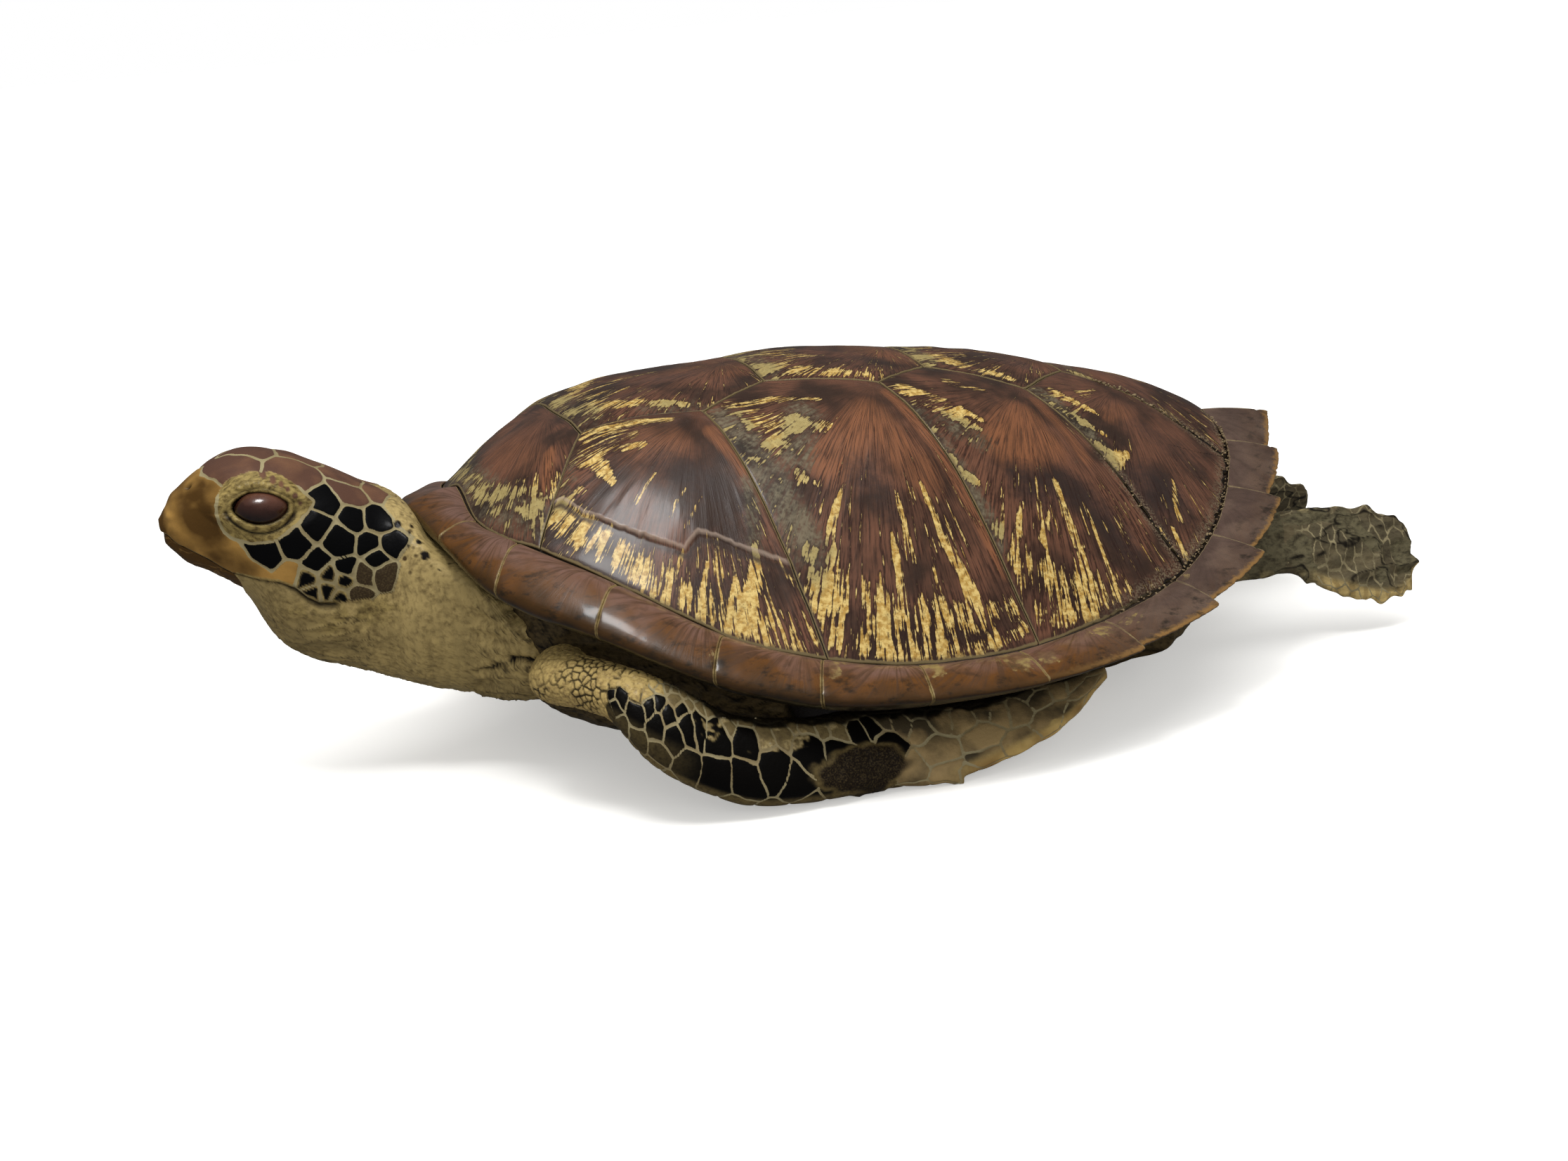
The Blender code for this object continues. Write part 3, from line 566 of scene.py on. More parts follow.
def makeSkin(name):
    look = skinLooks[name]
    look["shader"] = {
        "IOR": 1.46, "Specular IOR Level": 0.16, "Metallic": 0.0, "Coat Weight": look["coat"], "Coat Roughness": 0.18
    }
    material, add, spot, marks = newMaterial(
        name, "seam", "scale", "plate", "beak", "lid", "callus", "dark", "shade", "toneShift", "fleck",
    )
    stretched = add("VectorMath", (spot, look["crinkle"]), **times)
    crinkle = add("TexNoise", {"Vector": stretched, "Scale": 1.0, "Detail": 4.0, "Roughness": 0.6})
    cloud = add("TexNoise", {"Vector": spot, "Scale": 60.0, "Detail": 5.0})
    grit = add("TexNoise", {"Vector": spot, "Scale": 1300.0, "Detail": 2.0})
    spots = add("TexVoronoi", {"Vector": spot, "Scale": 190.0}, feature="F1")  # flecks 5 mm apart

    dim = add("Math", (add("Math", (crinkle, 0.72), **times), add("Math", (cloud, 0.28), **times)), **plus)
    flecked = add(
        "Math", (add("MapRange", (spots, 0.16, 0.30, 1.0, 0.0)), add("MapRange", (cloud, 0.44, 0.54, 0.0, 0.9))),
        **times
    )
    flecked = add("Math", (flecked, marks["fleck"]), **times)
    beakShade = add("MapRange", (add("Math", (cloud, 0.8, marks["shade"]), **timesPlus), 0.35, 1.25))
    warm = add("Math", (add("MapRange", (cloud, 0.35, 0.65, -0.3, 0.7)), marks["toneShift"]), **plus)
    ragged = add("Math", (grit, 0.5, marks["seam"]), **timesPlus)
    line = add("MapRange", (ragged, look["lineWide"], look["lineWide"] + lineSoftness, 1.0, 0.0), **soft)
    layers = [
        (None, "skin"), (add("MapRange", (dim, 0.45, 0.68)), "skinDark"), (flecked, "fleck"),
        (marks["beak"], "beak", beakShade, "beakDark"),
        (marks["lid"], "lid", add("MapRange", (crinkle, 0.40, 0.66)), "lidDark"),
        (marks["plate"], "plate", warm, "plateWarm"),
        (marks["callus"], "callus", add("MapRange", (grit, 0.45, 0.75, 0.0, 0.12)), "skin"), (marks["scale"], "scale"),
        # the last layer, near-black, is painted shade in folds, creases, the mouth, the nostril and the band under the
        # rim, and also the skin's own dark spots and streaks
        (line, "line", add("MapRange", (cloud, 0.4, 0.65, 0.0, 0.6)), "skinDark"), (marks["dark"], "dark"),
    ]
    rough = add("MapRange", (grit, 0.3, 0.7, look["roughness"] - 0.06, look["roughness"] + 0.10))
    return finishMaterial(material, look, layers, rough, add("Math", (grit, 0.35, crinkle), **timesPlus))


# Glass eye, blown and painted from behind: brown-red depth under a clear wet surface, lighter and warmer towards its
# top and rear as a painted sheen
eyeTones = {
    "deep": "#150806", "mid": "#331a12", "warm": "#5c3a2c", "roughness": 0.25, "relief": 0.00004,
    "shader": {"IOR": 1.52, "Metallic": 0.0, "Coat Weight": 0.8, "Coat Roughness": 0.12},
}


def makeEyeGlass():
    look = eyeTones
    material, add, spot, marks = newMaterial("blown glass eye, painted behind", "lift")
    swirl = add("TexNoise", {"Vector": spot, "Scale": 260.0, "Detail": 3.0})
    # lift: painted sheen, lighter towards the top and rear of the eye
    level = add("Math", (add("Math", (swirl, 0.3, marks["lift"]), **timesPlus), -0.15), **plus)
    mid, warm = (add("MapRange", (level, *span)) for span in ((0.15, 0.55), (0.55, 0.95)))
    rough = add("MapRange", (swirl, 0.3, 0.7, look["roughness"], look["roughness"] + 0.06))
    return finishMaterial(material, look, [(None, "deep"), (mid, "mid"), (warm, "warm")], rough, swirl)


# Horn and old glue broken to crumbs, and salt-dry skin flakes: matt, tan to brown
crumbTones = {"horn crumbs, broken": ("#4a3726", "#93815f"), "skin flakes, dried": ("#5f5743", "#a39878")}


def makeCrumbMatter(name):
    low, high = crumbTones[name]
    look = {"low": low, "high": high, "relief": 0.0002, "shader": {"IOR": 1.5, "Metallic": 0.0}}
    material, add, spot, _ = newMaterial(name)
    grit = add("TexNoise", {"Vector": spot, "Scale": 700.0, "Detail": 3.0})
    rough = add("MapRange", (grit, 0.3, 0.7, 0.65, 0.85))
    return finishMaterial(material, look, [(None, "low"), (add("MapRange", (grit, 0.35, 0.65)), "high")], rough, grit)


domeLook = {
    "thick": 1.6 * mm,
    "seamHalf": 0.35 * mm,
    "crown": 0.5 * mm,  # how far the middle of a plate swells over its edges
    "edgeRound": 0.6 * mm,
    "buckle": 0.50 * mm,  # unevenness of dried horn, over about 22 mm
    "wander": 0.5 * mm,  # how far a seam strays from a straight line
    "chip": 0.9 * mm,  # crumbled horn along the open seams of the rear
    "spacing": 1.35 * mm,
    "rings": 46,
    "closer": 0.62,  # the peeling plates need closer points to hold their step
}

peelLine = [
    (0.120, 0.150), (0.152, 0.164), (0.166, 0.187), (0.189, 0.210), (0.217, 0.232), (0.245, 0.249), (0.257, 0.247),
    (0.262, 0.244), (0.283, 0.253), (0.300, 0.262), (0.323, 0.273), (0.340, 0.279),
]  # lower edge of the loose upper layer on the first costal plates

# Markings of each plate: growth centre, then strokes of (strength, width in mm, points), y counted from the midline
plateMarks = {
    "vertebral_1": {
        "centre": (0.183, 0), "plain": 0.34,
        "cream": [
            (0.85, 17, [(0.092, 0.0), (0.098, 0.06), (0.112, 0.11), (0.135, 0.160)]),
            (0.62, 12, [(0.125, 0.09), (0.15, 0.135)])
        ],
        "amber": [(1.0, 5, [(0.160, 0.092), (0.144, 0.136)]), (0.5, 16, [(0.13, 0.0), (0.14, 0.08)])],
        "moss": [(0.8, 12, [(0.090, 0.0), (0.097, 0.07), (0.112, 0.13), (0.13, 0.165)])],
    },
    "vertebral_2": {
        "centre": (0.372, 0), "plain": 0.47,
        "cream": [
            (0.88, 16, [(0.205, 0.03), (0.24, 0.075), (0.30, 0.115)]), (0.7, 18, [(0.21, 0.0), (0.27, 0.035)]),
            (0.6, 10, [(0.31, 0.11), (0.35, 0.095)])
        ],
        "amber": [(0.6, 20, [(0.33, 0.0), (0.37, 0.04)])],
        "moss": [(0.6, 14, [(0.20, 0.0), (0.20, 0.08)]), (0.5, 10, [(0.26, 0.10), (0.30, 0.12)])],
        "smoke": [(0.6, 16, [(0.30, 0.03), (0.34, 0.02)])],
    },
    "vertebral_3": {
        "centre": (0.548, 0), "plain": 0.50,
        "cream": [
            (0.86, 20, [(0.395, 0.05), (0.44, 0.085), (0.49, 0.110)]), (0.75, 20, [(0.40, 0.0), (0.46, 0.03)]),
            (0.6, 12, [(0.51, 0.10), (0.55, 0.08)])
        ],
        "amber": [(0.7, 20, [(0.53, 0.0), (0.55, 0.05)])],
        "moss": [(0.7, 14, [(0.395, 0.0), (0.395, 0.07)])], "smoke": [(0.6, 14, [(0.47, 0.05), (0.52, 0.06)])],
    },
    "vertebral_4": {
        "centre": (0.725, 0), "plain": 0.50,
        "cream": [
            (0.86, 18, [(0.575, 0.03), (0.61, 0.065), (0.66, 0.090)]), (0.7, 18, [(0.58, 0.0), (0.63, 0.03)]),
            (0.6, 9, [(0.69, 0.075), (0.72, 0.05)])
        ],
        "amber": [(0.6, 16, [(0.70, 0.0), (0.72, 0.03)])],
        "moss": [(0.7, 12, [(0.572, 0.0), (0.575, 0.06)])], "smoke": [(0.7, 14, [(0.65, 0.03), (0.69, 0.04)])],
    },
    "vertebral_5": {
        "centre": (0.765, 0), "plain": 0.44,
        "cream": [
            (0.88, 12, [(0.752, 0.03), (0.785, 0.065), (0.81, 0.08)]), (0.72, 10, [(0.84, 0.05), (0.86, 0.10)]),
            (0.62, 9, [(0.885, 0.04), (0.89, 0.08)]), (0.6, 12, [(0.80, 0.0), (0.86, 0.02)]),
            (1.05, 8, [(0.770, 0.080), (0.815, 0.108), (0.860, 0.135)])
        ],
        "amber": [(0.5, 14, [(0.78, 0.0), (0.79, 0.03)])],
        "moss": [(0.5, 10, [(0.748, 0.0), (0.76, 0.04)]), (0.8, 9, [(0.780, 0.085), (0.850, 0.125)])],
        "smoke": [(0.8, 16, [(0.82, 0.06), (0.88, 0.11)])],
    },
    "costal_1": {
        "centre": (0.300, 0.140), "plain": 0.36,
        "cream": [
            (0.74, 13, [(0.165, 0.190), (0.195, 0.235), (0.235, 0.275), (0.285, 0.305), (0.345, 0.325)]),
            (0.72, 16, [(0.20, 0.125), (0.235, 0.14)]),
            (0.86, 8, [(0.197, 0.112), (0.235, 0.122), (0.275, 0.136)]),
            (0.84, 9, [(0.172, 0.140), (0.21, 0.145), (0.24, 0.156)]),
            (0.95, 9, [(0.192, 0.150), (0.200, 0.178)]), (0.7, 7, [(0.160, 0.155), (0.175, 0.175)]),
            (0.80, 15, [(0.150, 0.178), (0.162, 0.200), (0.190, 0.232), (0.205, 0.255), (0.225, 0.275)]),
            (0.95, 4.5, [(0.243, 0.250), (0.214, 0.272)]), (0.92, 4, [(0.262, 0.262), (0.234, 0.300)]),
            (0.9, 4, [(0.283, 0.276), (0.262, 0.306)]),
            (1.0, 8, [(0.312, 0.262), (0.302, 0.280), (0.284, 0.300)]), (0.68, 10, [(0.31, 0.30), (0.335, 0.315)]),
            (0.9, 2.6, [(0.240, 0.190), (0.214, 0.203)]), (0.88, 2.4, [(0.262, 0.212), (0.240, 0.226)]),
            (0.88, 2.4, [(0.274, 0.222), (0.252, 0.238)]),
        ],
        "amber": [
            (1.0, 5.5, [(0.305, 0.165), (0.325, 0.220), (0.345, 0.272)]), (0.6, 16, [(0.235, 0.150), (0.262, 0.165)])
        ],
        "moss": [
            (0.9, 5, [(0.322, 0.222), (0.318, 0.240), (0.310, 0.262)]), (0.5, 10, [(0.168, 0.128), (0.152, 0.162)])
        ],
        "smoke": [(0.75, 12, [(0.245, 0.180), (0.285, 0.215)])],
    },
    "costal_2": {
        "centre": (0.487, 0.135), "plain": 0.38,
        "cream": [
            (0.78, 16, [(0.372, 0.300), (0.430, 0.318), (0.500, 0.322), (0.550, 0.315)]),
            (0.84, 9, [(0.362, 0.322), (0.43, 0.338), (0.50, 0.338), (0.565, 0.322)]),
            (0.86, 15, [(0.352, 0.160), (0.392, 0.178), (0.418, 0.186)]),
            (0.86, 8, [(0.335, 0.132), (0.38, 0.136), (0.425, 0.150)]),
            (0.88, 9, [(0.355, 0.190), (0.385, 0.188), (0.412, 0.190)]),
            (0.85, 7, [(0.372, 0.225), (0.385, 0.235)]), (0.7, 7, [(0.345, 0.160), (0.375, 0.165)]),
            (0.96, 5, [(0.412, 0.240), (0.382, 0.270)]), (1.0, 8, [(0.384, 0.276), (0.354, 0.302)]),
            (0.95, 9, [(0.422, 0.296), (0.402, 0.322)]),
            (0.92, 6, [(0.444, 0.276), (0.440, 0.300), (0.424, 0.325)]),
            (0.93, 7, [(0.490, 0.246), (0.494, 0.280), (0.512, 0.312)]),
            (0.9, 5, [(0.476, 0.296), (0.478, 0.326)]), (0.70, 11, [(0.360, 0.305), (0.43, 0.330), (0.54, 0.326)]),
            (0.8, 4, [(0.46, 0.25), (0.458, 0.29)]),
        ],
        "amber": [
            (0.9, 15, [(0.405, 0.222), (0.465, 0.180), (0.482, 0.222), (0.492, 0.236)]),
            (1.0, 6, [(0.498, 0.150), (0.53, 0.24), (0.55, 0.29)])
        ],
        "moss": [
            (1.0, 12, [(0.325, 0.150), (0.342, 0.220), (0.352, 0.250), (0.362, 0.272)]),
            (0.8, 12, [(0.375, 0.21), (0.40, 0.165)])
        ],
        "smoke": [(0.7, 12, [(0.430, 0.235), (0.450, 0.255)])],
    },
    "costal_3": {
        "centre": (0.657, 0.112), "plain": 0.36,
        "cream": [
            (0.76, 15, [(0.572, 0.292), (0.625, 0.295), (0.68, 0.282)]),
            (0.82, 9, [(0.575, 0.316), (0.63, 0.308), (0.69, 0.285)]),
            (0.84, 13, [(0.528, 0.160), (0.556, 0.178), (0.575, 0.19)]),
            (0.88, 10, [(0.520, 0.145), (0.55, 0.160), (0.585, 0.178)]),
            (0.88, 8, [(0.520, 0.208), (0.532, 0.232), (0.552, 0.242)]),
            (0.75, 8, [(0.575, 0.122), (0.61, 0.13)]), (0.98, 5.5, [(0.592, 0.250), (0.562, 0.290)]),
            (0.97, 8, [(0.642, 0.224), (0.640, 0.270), (0.630, 0.312)]),
            (0.85, 3.5, [(0.621, 0.250), (0.602, 0.272)]), (0.66, 9, [(0.560, 0.302), (0.64, 0.308)]),
            (0.85, 4, [(0.604, 0.286), (0.600, 0.312)]),
            (0.8, 4, [(0.665, 0.235), (0.672, 0.29)]),
        ],
        "amber": [
            (1.0, 14, [(0.640, 0.160), (0.590, 0.205), (0.610, 0.205), (0.650, 0.185)]),
            (0.8, 6, [(0.668, 0.13), (0.69, 0.19)])
        ],
        "moss": [
            (1.0, 12, [(0.505, 0.180), (0.522, 0.228), (0.532, 0.250), (0.542, 0.272)]),
            (0.7, 10, [(0.545, 0.19), (0.57, 0.20)])
        ],
        "smoke": [(0.9, 14, [(0.60, 0.235), (0.66, 0.225), (0.70, 0.25)])],
    },
    "costal_4": {
        "centre": (0.790, 0.060), "plain": 0.34,
        "cream": [
            (1.0, 8, [(0.712, 0.192), (0.735, 0.175), (0.752, 0.162)]), (0.98, 8, [(0.716, 0.212), (0.732, 0.214)]),
            (0.9, 4, [(0.800, 0.168), (0.784, 0.208)]),
            (0.92, 6, [(0.700, 0.222), (0.712, 0.262)]), (0.7, 7, [(0.738, 0.230), (0.760, 0.232)]),
            (0.75, 7, [(0.69, 0.13), (0.73, 0.12)]),
            (0.72, 7, [(0.735, 0.09), (0.76, 0.075)]), (1.05, 7, [(0.716, 0.203), (0.728, 0.222), (0.744, 0.242)]),
            (1.0, 5, [(0.770, 0.222), (0.776, 0.262)]),
            (0.95, 4, [(0.752, 0.225), (0.766, 0.262)]), (1.0, 8, [(0.700, 0.104), (0.738, 0.120)]),
            (0.98, 7, [(0.698, 0.135), (0.735, 0.150)]), (0.95, 6, [(0.705, 0.165), (0.738, 0.172)]),
        ],
        "amber": [(0.6, 8, [(0.75, 0.12), (0.78, 0.10)])],
        "moss": [(1.0, 12, [(0.680, 0.115), (0.705, 0.150), (0.715, 0.180)]), (0.6, 8, [(0.70, 0.19), (0.715, 0.22)])],
        "smoke": [(1.0, 18, [(0.742, 0.200), (0.785, 0.185)]), (0.6, 14, [(0.80, 0.12), (0.84, 0.13)])],
    },
}


def cornerAt(i, side):
    return np.array([corners[i][0], -corners[i][1] * side])


def straight(a, b, step):
    # Plan points from a up to b, without b
    a, b = np.asarray(a[:2], float), np.asarray(b[:2], float)
    count = max(2, int(np.linalg.norm(b - a) / step))
    return a + (b - a) * np.arange(count)[:, None] / count


def rimRun(t0, t1, step):
    # Plan points along the inner rim line from one seam count to another
    count = max(3, int(abs(t1 - t0) * 0.1 / step))
    return rimLine(innerRim, t0 + (t1 - t0) * np.arange(count) / count)[:, :2]


def plateOutlines(step):
    # Plan outline, side and marking name of each of the 13 dome plates
    found = {}
    for side, word in ((1, "left"), (-1, "right")):
        c = [cornerAt(i, side) for i in range(7)]
        foot = [rimLine(innerRim, t * side)[0, :2] for t in costalFeet]
        heads = [[c[0], c[1]], [c[1], c[2], c[3]], [c[3], c[4], c[5]], [c[5], c[6]]]
        for k, head in enumerate(heads):
            path = [foot[k]] + head + [foot[k + 1]]
            runs = [straight(a, b, step) for a, b in zip(path, path[1:])]
            runs.append(rimRun(costalFeet[k + 1] * side, costalFeet[k] * side, step))
            found[f"costal_scute_{word}_{k + 1}"] = (np.vstack(runs), side, f"costal_{k + 1}")
    left, right = [cornerAt(i, 1) for i in range(7)], [cornerAt(i, -1) for i in range(7)]
    first, last = costalFeet[0], costalFeet[4]
    foot = {t: rimLine(innerRim, t)[0, :2] for t in (first, -first, last, -last)}
    found["vertebral_scute_1"] = (np.vstack([
        straight(left[0], foot[first], step), rimRun(first, -first, step), straight(foot[-first], right[0], step),
        straight(right[0], left[0], step),
    ]), 0, "vertebral_1")
    for number, (a, b, c) in ((2, (0, 1, 2)), (3, (2, 3, 4)), (4, (4, 5, 6))):
        path = [left[a], left[b], left[c], right[c], right[b], right[a], left[a]]
        found[f"vertebral_scute_{number}"] = (
            np.vstack([straight(p, q, step) for p, q in zip(path, path[1:])]), 0, f"vertebral_{number}"
        )
    found["vertebral_scute_5"] = (np.vstack([
        straight(right[6], left[6], step), straight(left[6], foot[last], step), rimRun(last, 13, step),
        rimRun(-13, -last, step),
        straight(foot[-last], right[6], step),
    ]), 0, "vertebral_5")
    return found


def drawnIn(outline, amount):
    # Plan outline moved inwards by an amount at each point
    along = np.roll(outline, -1, 0) - np.roll(outline, 1, 0)
    along /= np.maximum(np.linalg.norm(along, axis=1), 1e-12)[:, None]
    normal = np.c_[-along[:, 1], along[:, 0]]
    area = np.sum(outline[:, 0] * np.roll(outline[:, 1], -1) - np.roll(outline[:, 0], -1) * outline[:, 1])
    return outline + (normal if area > 0 else -normal) * amount[:, None]


def openSeams(x, y):
    # 1 where the rear seams have dried and cracked open, 0 where they are still closed
    towardRim = smooth(0.55, 0.85, np.abs(y) / np.maximum(0.06, 0.34 - 0.55 * np.maximum(0, x - 0.55)))
    return smooth(0.60, 0.74, x) * np.maximum(towardRim, smooth(0.80, 0.88, x))


def makeDomePlate(name, outline, side, marks, material, seed):
    d = domeLook
    closer = d["closer"] if marks == "costal_1" else 1.0
    flat = np.c_[outline, np.zeros(len(outline))]
    outline = outline + np.c_[grain(flat, 14 * mm, 3, 2), grain(flat, 14 * mm, 4, 2)] * d["wander"] * 0.5
    flat = np.c_[outline, np.zeros(len(outline))]
    chips = np.maximum(0, grain(flat, 3.2 * mm, seed, 2) + 0.15) * d["chip"] * openSeams(outline[:, 0], outline[:, 1])
    outline = drawnIn(outline, d["seamHalf"] + chips)
    middle = outline.mean(0)
    shares = np.r_[
        np.linspace(0.02, 0.92, int(d["rings"] / closer)), 0.94, 0.957, 0.970, 0.980, 0.988, 0.994, 0.998, 1.0
    ]
    plan = middle + (outline - middle)[None] * shares[:, None, None]
    rows, size = plan.shape[:2]
    xy = np.vstack([plan.reshape(-1, 2), middle])
    edge = awayFrom(xy, np.vstack([outline[::2], outline[:1]])) / mm
    spec = plateMarks[marks]
    tall = np.abs(xy[:, 1])
    half = np.c_[xy[:, 0], tall]
    flat = np.c_[xy, np.full(len(xy), seed * 0.31)]
    z = dome(xy)
    z += d["crown"] * (1 - np.exp(-edge / 16)) - d["edgeRound"] * np.exp(-edge / 0.6)
    z += d["buckle"] * grain(flat, 22 * mm, seed, 2) * smooth(0, 8, edge)
    centre = np.array([spec["centre"][0], -spec["centre"][1] * side if side else 0])
    radial = np.c_[xy - centre, z - dome(centre[None])[0]]
    reach = np.linalg.norm(radial, axis=1)
    way = (xy - centre) / np.maximum(np.linalg.norm(xy - centre, axis=1), 1e-9)[:, None]
    ribs = grain(np.c_[way * 0.9, reach * 1.2], 0.055, seed, 2) * smooth(20 * mm, 55 * mm, reach)
    z += 0.13 * mm * ribs
    z += 0.10 * mm * np.sin(
        reach / (5.5 * mm) + 2.5 * grain(flat, 40 * mm, seed + 5, 1)
    ) * smooth(10 * mm, 30 * mm, reach) * smooth(0, 4, edge)
    peel = np.full(len(xy), 30.0)
    if marks == "costal_1":
        line = np.array(peelLine)
        line[:, 1] += 0.0012 * np.sin(line[:, 0] * 190)
        gap = awayFrom(half, line) / mm
        below = tall > np.interp(xy[:, 0], line[:, 0], line[:, 1])
        peel = np.where(below, -gap, gap) + 0.35 * grain(flat, 2.5 * mm, seed, 2)
        lip = np.exp(-np.maximum(peel, 0) / 5.0)
        z += mm * (
            0.75 * smooth(-0.45, 0.25, peel)
            + 0.55 * lip * smooth(-0.45, 0.25, peel) * (0.6 + 0.4 * np.sin(xy[:, 0] * 150))
        )
        z -= 0.30 * mm * smooth(0.2, -0.8, peel) * np.exp(np.minimum(peel, 0) / 8)
    middleOfGrowth = np.array(spec["centre"], float)
    sides = {
        key: strokes(half, spec.get(key, []), middleOfGrowth if key == "cream" else None)
        for key in ("cream", "amber", "moss", "smoke")
    }
    flame = np.maximum(sides["cream"], spec["plain"] + 0.16 * smooth(35 * mm, 85 * mm, reach))
    if marks == "costal_1":
        flame = np.where(peel > 0, flame - 0.10 * smooth(0.16, 0.20, tall), flame + 0.08)
    fields = {
        **sides, "cream": flame, "edge": edge, "peel": peel,
        "openSeam": openSeams(xy[:, 0], xy[:, 1]), "seed": float(seed),
    }
    top = np.c_[xy, z]
    rings = [top[:-1].reshape(rows, size, 3)]
    for share in (1.0, 0.75, 0.5, 0.25):
        p = middle + (outline - middle) * share
        rings.append(np.c_[p, dome(p) - d["thick"]][None])
    rings = np.concatenate(rings)
    points = np.vstack([rings.reshape(-1, 3), top[-1], [*middle, dome(middle[None])[0] - d["thick"]]])
    count = len(rings) * size
    faces = [ringFaces(len(rings), size), fanFaces(count, 0, size), fanFaces(count + 1, count - size, size, True)]
    under = 4 * size
    spread = {
        key: (np.r_[v[:-1], np.full(under, 0.0 if key != "seed" else v[0]), v[-1], 0.0] if not np.isscalar(v) else v)
        for key, v in fields.items()
    }
    growth = way * (reach * shellLength)[:, None]
    growth = np.vstack([growth[:-1], np.zeros((under, 2)), growth[-1:], [[0, 0]]])
    return makePiece(name, points, faces, material, spread, growth)


def makeDomePlates(material):
    for seed, (node, (outline, side, marks)) in enumerate(plateOutlines(domeLook["spacing"]).items(), 1):
        if marks == "costal_1":
            outline = plateOutlines(domeLook["spacing"] * domeLook["closer"])[node][0]
        settle(
            makeDomePlate(node.replace("scute", "plate"), outline, side, marks, material, seed), node,
        )


rimLook = {
    "gap": 0.00375,  # half of the gap between two rim plates, in seam counts
    "along": 44,
    "round": 34,
    "buckle": 0.22 * mm,
    "edgeRound": 0.55 * mm,
    "chip": 1.1 * mm,
}
# Cream and amber patches: seam count, share of the way across, size in seam counts and in shares across, strength
rimPatches = [
    (5.12, 0.45, 0.10, 0.35, 0.9), (5.2, 0.2, 0.2, 0.2, 0.6), (6.10, 0.30, 0.16, 0.4, 0.9),
    (6.85, 0.35, 0.2, 0.5, 0.95), (7.15, 0.5, 0.15, 0.35, 0.8),
    (7.85, 0.3, 0.2, 0.3, 0.75), (8.2, 0.35, 0.22, 0.25, 0.6), (9.1, 0.15, 0.15, 0.2, 0.6),
    (3.95, 0.75, 0.07, 0.3, 0.5),
]


def rimRuns(t, toothShare):
    # Outer and inner runs of seven points of a rim plate at each t: over the top, round the edge and back under
    inner, outer = rimLine(innerRim, t), rimLine(outerRim, t)
    amount = [curve(table, np.abs(t)) for table in (rimTooth, rimThick, rimBulge)]
    flat = (outer - inner) * (1, 1, 0)
    flat /= np.linalg.norm(flat, axis=1)[:, None]
    outer = outer + flat * amount[0] * toothShare[:, None]
    across, thick, bulge = outer - inner, amount[1], amount[2]
    up = np.array([[0, 0, 1.0]])
    start = inner + flat * domeLook["seamHalf"]
    under = inner + flat * 0.004
    under[:, 2] = outer[:, 2] - thick[:, 0] - 0.006
    outside = [
        start, inner + across * 0.36 + up * bulge, inner + across * 0.74 + up * bulge * 0.8, outer,
        outer - flat * 0.004 - up * thick * 0.75,
        inner + across * 0.45 + (under - inner - across * 0.45) * up - up * 0.002, under,
    ]
    thin = up * domeLook["thick"]
    middle = 0.5 * (outside[2] + outside[4])
    inside = [
        start - thin, outside[1] - thin, middle - flat * 0.006 + up * 0.0012, middle - flat * 0.002,
        middle - flat * 0.006 - up * 0.0012,
        outside[5] + thin, under + thin,
    ]
    return np.stack(outside, 1), np.stack(inside, 1)


def toothSwell(share):
    # How far the edge stands out along a toothed rim plate, in shares of the tooth: hollow in front, a corner behind
    return 1.45 * share**1.4 + 0.3 * np.sin(np.pi * share) - 0.55


